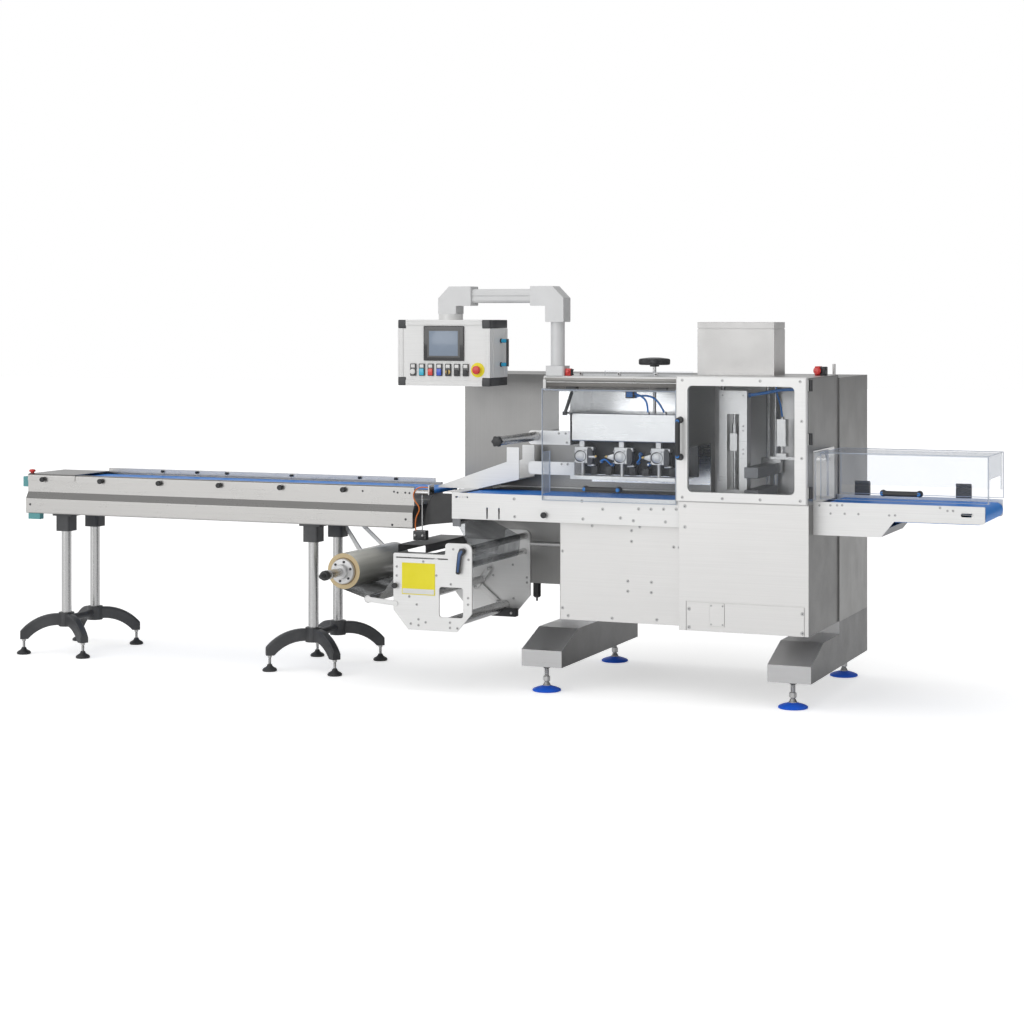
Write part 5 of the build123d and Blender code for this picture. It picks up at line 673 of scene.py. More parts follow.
# %% [markdown]
# The third is a flat outline with a thickness, for levers and plates, and the last a round bar
# along a smooth line. Curves have a round section and closed ends of their own, so the bar starts
# as a curve. The hoses use the same curve later.

# %% Plates and bars
def slab(points, near, far, edge=1.0):
    """Upright plate: an outline of (x, z) points between two depths y, with rounded rims."""
    shape = bmesh.new()
    face = shape.faces.new([shape.verts.new((x, near, z)) for x, z in points])
    pushed = bmesh.ops.extrude_face_region(shape, geom=[face])
    moved = [item for item in pushed["geom"] if isinstance(item, bmesh.types.BMVert)]
    bmesh.ops.translate(shape, vec=(0.0, far - near, 0.0), verts=moved)
    rims = [line for line in shape.edges if abs(line.verts[0].co.y - line.verts[1].co.y) < 0.01]
    bmesh.ops.bevel(shape, geom=rims, offset=edge, segments=2, affect="EDGES", profile=0.5)
    return shape


def smooth_line(name, points, radius, rounds):
    """Round curve along one smooth spline through its control points."""
    line = bpy.data.curves.new(name, "CURVE")
    line.dimensions = "3D"
    spline = line.splines.new("NURBS")
    spline.points.add(len(points) - 1)
    for point, place in zip(spline.points, points):
        point.co = (*place, 1.0)
    spline.order_u = 3
    spline.use_endpoint_u = True
    line.bevel_depth = radius
    line.bevel_resolution = rounds
    line.use_fill_caps = True
    return line


def round_bar(points, radius, rounds=5):
    """Round bar along a smooth curve, as a shape with closed ends."""
    line = smooth_line("bar", points, radius, rounds)
    holder = bpy.data.objects.new("bar", line)
    mesh = bpy.data.meshes.new_from_object(holder)
    shape = bmesh.new()
    shape.from_mesh(mesh)
    bmesh.ops.remove_doubles(shape, verts=shape.verts, dist=0.001)
    bpy.data.objects.remove(holder)
    bpy.data.curves.remove(line)
    bpy.data.meshes.remove(mesh)
    return shape


print("plates and bars ready")

# %% [markdown]
# A Piece collects such shapes in millimetres on the drawing, each with its finish, and at the end
# becomes one object that rides on its body.

# %% Pieces
SMOOTH_BELOW = 38.0


class Piece:
    """Shapes collected into one object, each with its own finish."""

    def __init__(self, name):
        self.name = name
        self.whole = bmesh.new()
        self.worn = []

    def add(self, shape, finish):
        """Takes a shape in, with its faces turned outwards."""
        if finish not in self.worn:
            self.worn.append(finish)
        bmesh.ops.recalc_face_normals(shape, faces=shape.faces)
        for face in shape.faces:
            face.material_index = self.worn.index(finish)
            face.smooth = True
        holder = bpy.data.meshes.new("shape")
        shape.to_mesh(holder)
        shape.free()
        self.whole.from_mesh(holder)
        bpy.data.meshes.remove(holder)

    def done(self, body, slot, *replaced):
        """Makes the object in metres and hangs it on its body."""
        bmesh.ops.scale(self.whole, vec=(MM, MM, MM), verts=self.whole.verts)
        bmesh.ops.translate(self.whole, vec=corner, verts=self.whole.verts)
        mesh = bpy.data.meshes.new(self.name)
        self.whole.to_mesh(mesh)
        self.whole.free()
        mesh.set_sharp_from_angle(angle=math.radians(SMOOTH_BELOW))
        for finish in self.worn:
            mesh.materials.append(finishes[finish])
        made = put(self.name, mesh)
        if replaced:
            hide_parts(*replaced)
        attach(made, body)
        print(self.name, "faces", len(mesh.polygons))


print("edges sharp from", SMOOTH_BELOW, "degrees")

# %% [markdown]
# The machine stands on four blue levelling feet. Each is a low dome of moulded plastic over a ball,
# a steel stem with a rolled thread, a hexagon nut to turn it, and a dark nut that locks it under
# the leg. All are turned shapes.

# %% Levelling feet
FOOT_X = (453.0, 1625.0)
FOOT_Y = (-257.0, 677.0)
PAD = [(62, 0), (66, 2), (67, 5), (66, 9), (60, 13), (47, 18), (33, 22), (23, 25), (19, 26)]
COLLAR = [(19, 24), (19, 29), (15, 34), (13, 40)]
TURNING_NUT = [(14, 46), (17, 48), (17, 68), (14, 70)]
LOCKING_NUT = [(15, 106), (18, 108), (18, 120)]
STEM_RADIUS, STEM_LOW, STEM_HIGH, STEM_PITCH = 11.0, 40.0, 120.0, 3.0
THREAD_DEPTH = 1.2


def threaded(radius, low, high, pitch):
    """Profile of a stem whose thread is a row of shallow ridges."""
    core = radius - THREAD_DEPTH
    ridges = []
    height = low
    while height + pitch < high:
        ridges += [(core, height), (radius, height + pitch / 2)]
        height += pitch
    return ridges + [(core, height), (core, high)]


pads = Piece("levelling_pads")
stems = Piece("levelling_stems")
stem = threaded(STEM_RADIUS, STEM_LOW, STEM_HIGH, STEM_PITCH)
for x in FOOT_X:
    for y in FOOT_Y:
        base = (x, y, 0.0)
        pads.add(turned(PAD, base, steps=40), "blue_plastic")
        stems.add(turned(COLLAR, base, steps=28), "bolt_steel")
        stems.add(turned(stem, base, steps=20), "turned_steel")
        stems.add(turned(TURNING_NUT, base, steps=6), "bolt_steel")
        stems.add(turned(LOCKING_NUT, base, steps=6), "bolt_dark")
pads.done("machine", "blue_pad", "foot_pads")
stems.done("machine", "column_steel", "foot_stems")

# %% [markdown]
# The conveyor's stands have smaller feet: black rubber-faced domes on bright stems.

# %% Stand feet
STAND_X = (-2256.0, -826.0)
STAND_FOOT = (178.0, 252.0)
STAND_PAD = [(33, 0), (36, 3), (36, 9), (31, 15), (20, 21), (14, 26), (12, 33), (9, 35)]
STAND_NUT = [(0, 66), (12, 67), (12, 76), (0, 77)]

stand_feet = Piece("stand_levelling_feet")
stem = threaded(7.5, 33.0, 78.0, 2.5)
for middle in STAND_X:
    for way_x in (-1.0, 1.0):
        for way_y in (-1.0, 1.0):
            base = (middle + way_x * STAND_FOOT[0], way_y * STAND_FOOT[1], 0.0)
            stand_feet.add(turned(STAND_PAD, base, steps=30), "black_plastic")
            stand_feet.add(turned(stem, base, steps=16), "turned_steel")
            stand_feet.add(turned(STAND_NUT, base, steps=6), "bolt_steel")
stand_feet.done("machine", "black_plastic", "stand_feet")

# %% [markdown]
# Black moulded knobs clamp the belt guides, the rails and the film rollers. A knob has a slim neck,
# a grip with rounded rims and a small cap in its face, all given as shares of its radius and
# length. The film roller's knob has lobes. The unwinder also has a flat lever with a blue face.

# %% Knobs
KNOB = [(0.6, 0), (0.6, 0.25), (0.95, 0.32), (1, 0.42), (1, 0.85), (0.88, 1), (0.55, 1),
        (0.5, 0.94)]
INFEED_KNOB_X = (-2369.0, -2023.0, -1678.0, -1332.0, -987.0, -641.0)
GUIDE_KNOB_X = (-1851.0, -1646.0, -1471.0, -1096.0, -711.0, -511.0)
UNWIND_FRONT = -530.0
CLAMP, GUIDE_CLAMP, RAIL_CLAMP = (13.0, 22.0), (7.0, 14.0), (14.0, 22.0)
KNOBS = [((x, -171.0 if x == INFEED_KNOB_X[0] else -168.0, 892.0), CLAMP) for x in INFEED_KNOB_X]
KNOBS += [((x, 148.0, 926.0), GUIDE_CLAMP) for x in GUIDE_KNOB_X]
KNOBS += [((-826.0, 107.0, 508.0), CLAMP), ((467.0, RAIL_FRONT, 820.0), RAIL_CLAMP),
          ((-190.0, UNWIND_FRONT, 490.0), CLAMP)]
LEVER = [(140, 674), (160, 674), (163, 660), (160, 648), (150, 640), (146, 620), (141, 562),
         (136, 556), (126, 556), (121, 562), (124, 600), (130, 650)]
LEVER_FACE = [(134, 656), (152, 668), (157, 660), (146, 640), (141, 600), (136, 566), (128, 566),
              (129, 600)]


def grip(radius, low, high, edge):
    """Profile of a hand knob with rounded rims and a face that domes a little."""
    return [(radius - edge * 2, low), (radius - edge * 0.6, low + edge * 0.4),
            (radius, low + edge * 1.4), (radius, high - edge * 1.4),
            (radius - edge * 0.6, high - edge * 0.4), (radius - edge * 2, high),
            (radius * 0.4, high + edge * 0.8), (0.0, high + edge)]


knobs = Piece("clamping_knobs")
for base, (radius, length) in KNOBS:
    profile = [(radius * out, length * along) for out, along in KNOB]
    knobs.add(turned(profile, base, "-Y", 20), "black_plastic")
roller_knob = turned(grip(26.0, 3.0, 25.0, 2.5), (342.0, -573.0, 1170.0), "-Y", 48, 6, 5.0)
knobs.add(roller_knob, "black_plastic")
lever_screw = [(13, 0), (15, 3), (15, 12), (12, 15)]
knobs.add(turned(lever_screw, (150.0, UNWIND_FRONT, 660.0), "-Y", 20), "bolt_dark")
knobs.add(slab(LEVER, -552.0, -540.0, 2.0), "black_plastic")
knobs.add(slab(LEVER_FACE, -553.5, -551.0, 0.5), "blue_deep")
knobs.done("machine", "black_plastic", "knobs")

# %% [markdown]
# The handwheel above the canopy is one thick black moulding, a little domed, with lobes for the
# fingers. It rides with its spindle, so it turns in the poses.

# %% Handwheel
WHEEL_PLACE = (892.0, 0.0, 0.0)
WHEEL_HUB = [(20, 1500), (22, 1502), (22, 1512)]

wheel = Piece("lobed_handwheel")
wheel.add(turned(grip(76.0, 1508.0, 1538.0, 5.0), WHEEL_PLACE, "Z", 80, 5, 12.0), "black_plastic")
wheel.add(turned(WHEEL_HUB, WHEEL_PLACE), "black_plastic")
wheel.done("handwheel", "black_plastic", "handwheel")

# %% [markdown]
# Stop buttons: a flat red mushroom on the conveyor's end, and two small housings on the roof, each
# a red and a black block with its button on the front.

# %% Stop buttons
MUSHROOM = [(9, 0), (9, 7), (15, 9), (17, 12), (17, 16), (14, 20), (8, 22), (0, 23)]
ROOF_BUTTON = [(11, 0), (11, 8), (17, 11), (18, 15), (15, 20), (7, 22)]
SMALL_BUTTON = [(8, 0), (9, 6), (7, 11), (0, 12)]
PLUG = [(3.5, 0), (3.5, 8), (0, 9)]

stops = Piece("stop_button_set")
stops.add(turned(MUSHROOM, (-2453.0, -150.0, 919.0), "Z", 28), "red_plastic")
stops.add(turned([(14, 0), (14, 3)], (-2453.0, -150.0, 918.0)), "black_plastic")
stops.add(block((1640, 60, 1465), (1666, 110, 1507), 4.0), "red_plastic")
stops.add(block((1665, 62, 1465), (1690, 108, 1505), 3.0), "black_plastic")
stops.add(turned(ROOF_BUTTON, (1656.0, 60.0, 1487.0), "-Y", 26), "red_plastic")
stops.add(block((518, -190, 1458), (545, -160, 1492), 3.5), "red_plastic")
stops.add(block((544, -188, 1461), (549, -163, 1489), 1.5), "black_plastic")
for z in (1464.0, 1486.0):
    stops.add(turned(PLUG, (547.0, -176.0, z), "X", 12), "black_plastic")
stops.add(turned(SMALL_BUTTON, (532.0, -190.0, 1477.0), "-Y", 20), "red_plastic")
stops.done("machine", "red_plastic", "stop_buttons")

# %% [markdown]
# Three handles are black bars with blue caps over their fixing screws. The bars are bent tubes or
# flat mouldings, so each follows a smooth curve with its control points close at the corners.

# %% Handles
HANDLE_CAP = [(9, -6), (9, 0), (7, 3), (0, 4)]
DOOR_BAR = [(1139, -372, 1107), (1139, -396, 1106), (1139, -409, 1107), (1139, -410, 1122),
            (1139, -410, 1190), (1139, -410, 1258), (1139, -409, 1273), (1139, -396, 1274),
            (1139, -372, 1273)]
GUARD_BAR = [(672, -352, 948), (700, -353, 948), (756, -353, 948), (812, -353, 948),
             (840, -352, 948)]
TUNNEL_BAR = [(2014, -228, 962), (2040, -228, 961), (2098, -228, 961), (2156, -228, 961),
              (2182, -228, 962)]


def capped_handle(name, body, replaced, points, radius, caps, feet, length):
    """Black bar along its control points, with blue caps at the front and round feet behind."""
    handle = Piece(name)
    handle.add(round_bar(points, radius), "black_plastic")
    for place in caps:
        handle.add(turned(HANDLE_CAP, place, "-Y", 20), "blue_fitting")
    for place in feet:
        foot = [(15, 0), (15, 5), (12, 9), (11, length)]
        handle.add(turned(foot, place, "-Y", 24), "black_plastic")
    handle.done(body, "black_plastic", replaced)


capped_handle("door_bow", "sealing_door", "door_handle", DOOR_BAR, 11.0,
              [(1139, -416, 1112), (1139, -416, 1268)],
              [(1139, -370, 1107), (1139, -370, 1273)], 24)
capped_handle("guard_bar", "front_guard", "front_guard_handle", GUARD_BAR, 12.0,
              [(676, -361, 948), (836, -361, 948)],
              [(676, -332, 948), (836, -332, 948)], 22)
capped_handle("tunnel_bar", "outfeed_guard", "outfeed_guard_handle", TUNNEL_BAR, 12.0,
              [(2018, -236, 961), (2178, -236, 961)],
              [(2018, -204, 961), (2178, -204, 961)], 24)

# %% [markdown]
# The operator panel is a box of aluminium profile with black corner castings. The grip at its
# right side is a thin black bar on two cyan spacers.

# %% Panel corners and grip
PANEL_LEFT, PANEL_RIGHT = -276.0, 196.0
PANEL_LOW, PANEL_HIGH = 1408.0, 1718.0
CORNER_REACH = 40.0
INSET = 0.8
GRIP_X, GRIP_Y, GRIP_RADIUS = 231, -196.0, 6.5
SPACER = [(8.5, 0), (9, 1), (9, 24), (8, 25)]

fittings = Piece("panel_corners_and_grip")
for left, right in ((PANEL_LEFT, PANEL_LEFT + CORNER_REACH),
                    (PANEL_RIGHT - CORNER_REACH, PANEL_RIGHT)):
    for low, high in ((PANEL_LOW, PANEL_LOW + CORNER_REACH),
                      (PANEL_HIGH - CORNER_REACH, PANEL_HIGH)):
        inner_low = (left + INSET, -293.0, low + INSET)
        inner_high = (right - INSET, -111.0, high - INSET)
        fittings.add(block((left, -327.0, low), (right, -292.0, high), 4.0, 3), "black_casting")
        fittings.add(block(inner_low, inner_high, 3.0, 3), "black_casting")
for z in (1508.0, 1619.0):
    fittings.add(turned(cap(11, 5, 9, 6), (PANEL_RIGHT, GRIP_Y, z), "X", 20), "black_plastic")
    fittings.add(turned(SPACER, (202.0, GRIP_Y, z), "X", 20), "cyan_plastic")
fittings.add(round_bar([(GRIP_X, GRIP_Y, z) for z in (1499, 1520, 1563, 1607, 1628)], GRIP_RADIUS),
             "black_plastic")
fittings.done("operator_panel", "black_plastic", "panel_fittings")

# %% [markdown]
# The panel's face carries a screen in a wide dark bezel. Under it are seven square control
# modules, each with a white label field over a button, a key or a coloured lens, and a red stop on
# a yellow disc. The fields stay blank.

# %% Panel display and controls
PANEL_FACE = -323.0
MODULE_X = (-196.0, -151.0, -106.0, -61.0, -16.0, 29.0, 74.0)
WHITE_BUTTON = cap(13, 3, 9, 5) + [(0, 6)]
KEY_SEAT = cap(12, 2, 10, 3)
BLACK_BUTTON = cap(11, 4, 9, 6)
MODULES = ("white", "cyan_lens", "red_lens", "blue_lens", "key", "black", "black")
STOP_DISC = [(33, 0), (34, 1), (34, 3), (32, 4)]
STOP = [(12, 0), (12, 11), (18, 14), (20, 18), (20, 22), (17, 27), (9, 29)]
STOP_X, STOP_Z = 134, 1484

screen = Piece("panel_display")
screen.add(block((-142, -331.5, 1526), (65, PANEL_FACE, 1689), 4.0, 3), "black_gloss")
screen.add(block((-122, -332.3, 1541), (46, -329, 1674), 2.0), "bezel_grey")
screen.add(block((-112, -333.0, 1549), (36, -329, 1666), 1.0), "screen_glass")
screen.done("operator_panel", "black_plastic", "panel_screen")

controls = Piece("panel_control_row")
for kind, x in zip(MODULES, MODULE_X):
    controls.add(block((x - 15, -331.5, 1454), (x + 15, PANEL_FACE, 1512), 2.5), "black_gloss")
    controls.add(block((x - 10, -332.5, 1493), (x + 10, -330, 1508), 1.5), "white_plastic")
    if kind == "white":
        controls.add(turned(WHITE_BUTTON, (x - 1, -330.5, 1474), "-Y", 26), "white_plastic")
    elif kind == "key":
        controls.add(turned(KEY_SEAT, (x, -330.5, 1474), "-Y", 26), "brass")
        controls.add(block((x - 4, -342, 1463), (x + 4, -330, 1486), 2.5), "black_plastic")
    elif kind == "black":
        controls.add(turned(BLACK_BUTTON, (x, -330.5, 1473), "-Y", 24), "black_plastic")
    else:
        controls.add(block((x - 12, -336, 1457), (x + 12, -330, 1489), 3.0, 3), kind)
controls.add(turned(STOP_DISC, (STOP_X, PANEL_FACE, STOP_Z), "-Y", 40), "yellow_plastic")
controls.add(turned(STOP, (STOP_X, -324.0, STOP_Z), "-Y", 32), "red_plastic")
controls.done("operator_panel", "black_plastic", "panel_controls")

# %% [markdown]
# The box's aluminium profile has two ridges along each side of its face, and two on its right
# side. They are thin blocks between the corner castings.

# %% Panel ridges
RIDGE_START = CORNER_REACH + 2
RIDGE_HALF = 1.5
RIDGE_FRONT, RIDGE_BACK = -328.0, -321.0

ridges = Piece("panel_profile_ridges")
left, right = PANEL_LEFT + RIDGE_START, PANEL_RIGHT - RIDGE_START
foot, head = PANEL_LOW + RIDGE_START, PANEL_HIGH - RIDGE_START
spans = [((x - RIDGE_HALF, RIDGE_FRONT, foot), (x + RIDGE_HALF, RIDGE_BACK, head))
         for x in (PANEL_LEFT + 8, PANEL_LEFT + 20, PANEL_RIGHT - 8, PANEL_RIGHT - 20)]
spans += [((left, RIDGE_FRONT, z - RIDGE_HALF), (right, RIDGE_BACK, z + RIDGE_HALF))
          for z in (PANEL_LOW + 8, PANEL_LOW + 20, PANEL_HIGH - 8, PANEL_HIGH - 20)]
spans += [((193.0, y - RIDGE_HALF, foot), (197.5, y + RIDGE_HALF, head)) for y in (-285.0, -150.0)]
for low, high in spans:
    ridges.add(block(low, high, 1.0), "light_plate")
ridges.done("operator_panel", "white_plate")

# %% [markdown]
# The sealing heads press the film's edges together. The solids give each its square plate, round
# disc and post. Here come the dark ring round each disc, the dark guard pad beside it, the pointer
# that leads the film with its brass screw, blue air fittings and a dark casting behind them.

# %% Sealing head details
HEAD_X = (562.0, 758.0, 939.0)
HEAD_HEIGHT = 1080.0
HEAD_FACE = -94.0
DISC_OFFSET = -6
DARK_RING = [(27.5, -2), (27.5, 0.4), (24, 1.2)]
PAD_OUTLINE = [(33, 1040), (47, 1040), (55, 1050), (57, 1080), (55, 1110), (47, 1121), (33, 1121),
               (29, 1108), (29, 1053)]
POINTER = [(-84, 1079), (-38, 1094), (-34, 1094), (-34, 1064), (-40, 1064)]


def sealing_head(piece, x, first):
    """One head's ring, disc, pad, plates, screws and pointer; the first one's points right."""
    disc = (x + DISC_OFFSET, HEAD_FACE, HEAD_HEIGHT)
    near, far = HEAD_FACE + 2, HEAD_FACE + 30
    piece.add(turned(DARK_RING, disc, "-Y", 40), "black_plastic")
    piece.add(turned(cap(22, 4, 20, 5.5), disc, "-Y", 40), "cast_light")
    pad = [(x + out, z) for out, z in PAD_OUTLINE]
    piece.add(slab(pad, HEAD_FACE - 3, HEAD_FACE + 28, 2.0), "grey_pad")
    piece.add(block((x - 34, near, 1106), (x + 60, far, 1124), 3.0), "cast_light")
    piece.add(block((x + 30, near, 1034), (x + 64, far, 1043), 3.0), "cast_light")
    for dx, dz in ((-27, 27), (24, 27), (-27, -27), (24, -27)):
        place = (x + DISC_OFFSET + dx, HEAD_FACE, HEAD_HEIGHT + dz)
        piece.add(turned(cap(4, 2.5, 2.5, 3.5), place, "-Y", 12), "bolt_steel")
    if first:
        pointer = block((x + 36, HEAD_FACE - 4, 1072), (x + 74, HEAD_FACE + 10, 1084), 4.0)
    else:
        pointer = slab([(x + out, z) for out, z in POINTER], HEAD_FACE - 2, HEAD_FACE + 16, 2.0)
    piece.add(pointer, "cast_light")
    tip = (x + 74 if first else x - 70, HEAD_FACE, 1081)
    piece.add(turned(cap(6, 5, 4, 7), tip, "-Y", 14), "brass")


heads = Piece("sealing_head_details")
for x in HEAD_X:
    sealing_head(heads, x, x == HEAD_X[0])

# %% [markdown]
# Behind the heads a dark casting carries their drives, with blue air fittings and two short hoses.
# The drives are plain dark blocks, because little of them shows between the heads.

# %% Behind the sealing heads
DRIVES = ((596, 1012), (668, 1012), (786, 1018), (850, 1006), (980, 1014), (1040, 1010))
FITTINGS = ((646, 1054), (700, 1040), (826, 1052), (838, 1092), (880, 1046), (600, 1030))
FITTING = [(7, 0), (7, 14), (9, 15), (9, 22), (6, 24)]
SHORT_HOSES = (((646, -52, 1054), (672, -70, 1070), (700, -52, 1040)),
               ((826, -52, 1052), (846, -66, 1074), (838, -52, 1092)))

heads.add(block((536, -24, 992), (1112, -10, 1152), 3.0), "black_casting")
for x, z in DRIVES:
    heads.add(block((x, -60, 992), (x + 34, -26, z + 22), 4.0), "black_casting")
for x, z in FITTINGS:
    heads.add(turned(FITTING, (x, -26.0, z), "-Y", 16), "blue_fitting")
    heads.add(turned([(4.5, 0), (4.5, 8)], (x, -50.0, z), "-Y", 12), "bolt_steel")
for start, middle, end in SHORT_HOSES:
    route = [start, (start[0], -64, start[2]), middle, (end[0], -64, end[2]), end]
    heads.add(round_bar(route, 4.0, 3), "hose_blue")
heads.add(block((1028, -108, 1158), (1056, -20, 1276), 2.0), "grey_pad")
heads.done("machine", "cast_aluminium")

# %% [markdown]
# Along the canopy's front lip the lower part and the band above it are dark strips, a painted
# reflection of the dark machine.
# On its top lie two clear strips with small clamp blocks.

# %% Canopy trim
CLAMP_X = (567.0, 755.0, 937.0)
CLAMP_SCREW = [(4, 0), (4, 3), (0, 4)]

canopy = Piece("canopy_trim")
# Painted reflection: dark strips along the lip.
canopy.add(block((428, -207.5, 1392), (1117, -204.5, 1428), 1.0), "painted_reflection_strip")
canopy.add(block((421, -207.0, 1431), (1119, -204.5, 1450), 1.0), "lip_painted_reflection")
canopy.add(block((415, -210, 1396), (430, -203, 1440), 1.5), "white_plastic")
for x in CLAMP_X:
    canopy.add(block((x - 7, -112, 1458), (x + 7, -98, 1474), 2.0), "cast_light")
    canopy.add(turned(CLAMP_SCREW, (x, -112.0, 1467.0), "-Y", 12), "bolt_dark")
canopy.add(block((558, -104, 1458), (680, -92, 1474), 1.0), "tunnel_sheet")
canopy.add(block((682, -104, 1458), (1110, -92, 1482), 1.0), "tunnel_sheet")
canopy.done("machine", "white_plate")

# %% [markdown]
# A clear sheet is seen by its edges. Thin strips of the tinted edge colour lie along the guards'
# rims and ride with them. Each strip is a thin block between two corners.

# %% Guard edges
FRONT_EDGES = [
    ((457.2, -333.0, 889.5), (460.2, -324.5, 1404)),
    ((1102.5, -333.0, 889.5), (1105.6, -325.0, 1404)),
    ((458, -333.0, 888.4), (1105, -325.2, 891.6)),
    ((458, -333.0, 1397.0), (1105, -325.2, 1399.5)),
    ((457.2, -238.0, 920), (463.0, -235.2, 1110)),
    ((457.2, -326, 918.6), (463.0, -236, 921.4)),
    ((457.2, -326, 1108.6), (463.0, -236, 1111.4)),
]
TUNNEL_X, TUNNEL_ENDS = (1736, 2476), (1735.4, 2473.4)
TUNNEL_SIDES = ((-204.6, -201.0), (163.0, 166.6))


def edge_strips(name, body, corners):
    """Thin strips between pairs of corners."""
    piece = Piece(name)
    for low, high in corners:
        piece.add(block(low, high, 0.8, 1), "acrylic_edge")
    piece.done(body, "clear_sheet")


edge_strips("front_guard_edges", "front_guard", FRONT_EDGES)
tunnel_edges = []
for near, far in TUNNEL_SIDES:
    tunnel_edges += [((TUNNEL_X[0], near, 1129.5), (TUNNEL_X[1], far, 1132.5)),
                     ((TUNNEL_X[0], near, 924.5), (TUNNEL_X[1], far, 927.0))]
    tunnel_edges += [((x, near, 925), (x + 3.2, far, 1132)) for x in TUNNEL_ENDS]
tunnel_edges += [((x, -204, 1129.5), (x + 3.2, 166, 1132.5)) for x in TUNNEL_ENDS]
edge_strips("outfeed_guard_edges", "outfeed_guard", tunnel_edges)

# %% [markdown]
# The film reel is held by a chuck: a bolted flange against the roll's end, a turned shaft with
# rings, and a black cap on its tip. The shaft runs on through the roll to a plain flange at the
# back. The whole chuck turns with the reel.

# %% Reel chuck
FLANGE = [(58, 0), (60, 2), (60, 14), (57, 18), (36, 19), (34, 21), (34, 44), (31, 47)]
SHAFT = [(20, 40), (20, 150), (22, 151), (22, 158), (20, 159), (20, 176)]
TIP = [(21, 174), (23, 178), (23, 200), (20, 207), (14, 208), (14, 226), (11, 234), (6, 241)]
CORE = [(64, -3), (64, 1)]
INNER_SHAFT = [(22, 0), (22, 570)]
REAR_FLANGE = [(70, 560), (72, 562), (72, 570), (70, 572)]
FLANGE_BOLTS, BOLT_CIRCLE, FIRST_BOLT = 6, 46, 0.3

chuck = Piece("reel_chuck")
chuck.add(turned(FLANGE, REEL_PLACE, "-Y", 48), "cast_light")
chuck.add(turned(SHAFT, REEL_PLACE, "-Y", 36), "turned_steel")
chuck.add(turned(TIP, REEL_PLACE, "-Y", 30), "black_plastic")
for step in range(FLANGE_BOLTS):
    angle = math.tau * step / FLANGE_BOLTS + FIRST_BOLT
    place = (REEL_PLACE[0] + BOLT_CIRCLE * math.cos(angle), REEL_PLACE[1] - 18,
             REEL_PLACE[2] + BOLT_CIRCLE * math.sin(angle))
    chuck.add(turned(cap(6, 4, 4, 6), place, "-Y", 10), "bolt_dark")
chuck.add(turned(CORE, REEL_PLACE, "-Y", 48), "card_core")
chuck.add(turned(INNER_SHAFT, REEL_PLACE, "Y", 24), "turned_steel")
chuck.add(turned(REAR_FLANGE, REEL_PLACE, "Y", 40), "cast_light")
chuck.done("film_reel", "roller_steel", "reel_shaft")

# %% [markdown]
# The unwinder's front plate carries a plain yellow plate with a white field at its foot. Both stay
# blank. Above the film a small black housing with two screws carries the sensor's rod, and two
# nuts hold the sensor at its top.

# %% Unwinder plate and sensor housing
label = Piece("yellow_plate")
label.add(block((-159, UNWIND_FRONT - 2, 451), (9, UNWIND_FRONT, 597), 0.8, 1), "yellow_plastic")
label.add(block((-155, -532.6, 455), (5, -531, 478), 0.4, 1), "white_plastic")
label.done("machine", "white_plate")

housing = Piece("sensor_holder_cover")
housing.add(block((-250, -216, 666), (-185, -175, 712), 4.0), "black_casting")
for x in (-238.0, -198.0):
    housing.add(turned(cap(6, 4, 4, 6), (x, -216.0, 690.0), "-Y", 12), "bolt_steel")
for x in (-240.0, -224.0):
    housing.add(turned([(7, 0), (7, 5)], (x, -182.0, 893.0), "X", 6), "bolt_steel")
housing.done("machine", "black_plastic")

# %% [markdown]
# The air hoses and the sensor's lead are flexible lines of a fixed length between two fittings.
# Each is one smooth curve whose control points are the corners of its route, with a round section.

# %% Hoses and lead
HOSE = ("hose_blue", "blue_hose", "air_hoses")
LEAD = ("cable_orange", "orange_cable", "sensor_cable")
CORD_STEPS = 10
CORDS = {
    "left_air_hose": (0.138, 9.0, HOSE, [
        (840, -130, 1378), (876, -124, 1366), (894, -102, 1330), (887, -80, 1282)]),
    "right_air_hose": (0.191, 9.0, HOSE, [
        (840, -120, 1364), (898, -116, 1374), (946, -92, 1342), (963, -60, 1282)]),
    "trunk_air_hose": (0.356, 14.0, HOSE, [
        (1368, -70, 1376), (1430, -64, 1384), (1510, -46, 1402), (1590, -30, 1404),
        (1655, -26, 1396), (1714, -30, 1400)]),
    "branch_air_hose": (0.207, 9.0, HOSE, [
        (1460, 59, 1461), (1458, 55, 1390), (1488, 47, 1330), (1494, 45, 1264)]),
    "sensor_lead": (0.288, 6.0, LEAD, [
        (-176, -197, 917), (-222, -197, 922), (-256, -197, 896), (-254, -197, 856),
        (-216, -197, 816), (-250, -197, 764), (-243, -197, 711)]),
}

for name, (length, diameter, (finish, slot, replaced), route) in CORDS.items():
    line = smooth_line(name, [at(*place) for place in route], diameter / 2 * MM, 4)
    line.splines[0].resolution_u = CORD_STEPS
    line.materials.append(finishes[finish])
    made = put(name, line)
    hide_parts(replaced)
    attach(made, "machine")
print("hoses and lead", len(CORDS))

# %% [markdown]
# The hoses end in fittings: blue collars on the trunk and at the connector block, and small steel
# hexagons at the other ends.

# %% Hose fittings
HEXAGONS = ((887, -80, 1282, "Z"), (963, -60, 1282, "Z"), (1494, 45, 1264, "Z"),
            (1460, 59, 1461, "-Z"))
TRUNK_ENDS = ((1368, -70, 1376, "X"), (1714, -30, 1400, "-X"))

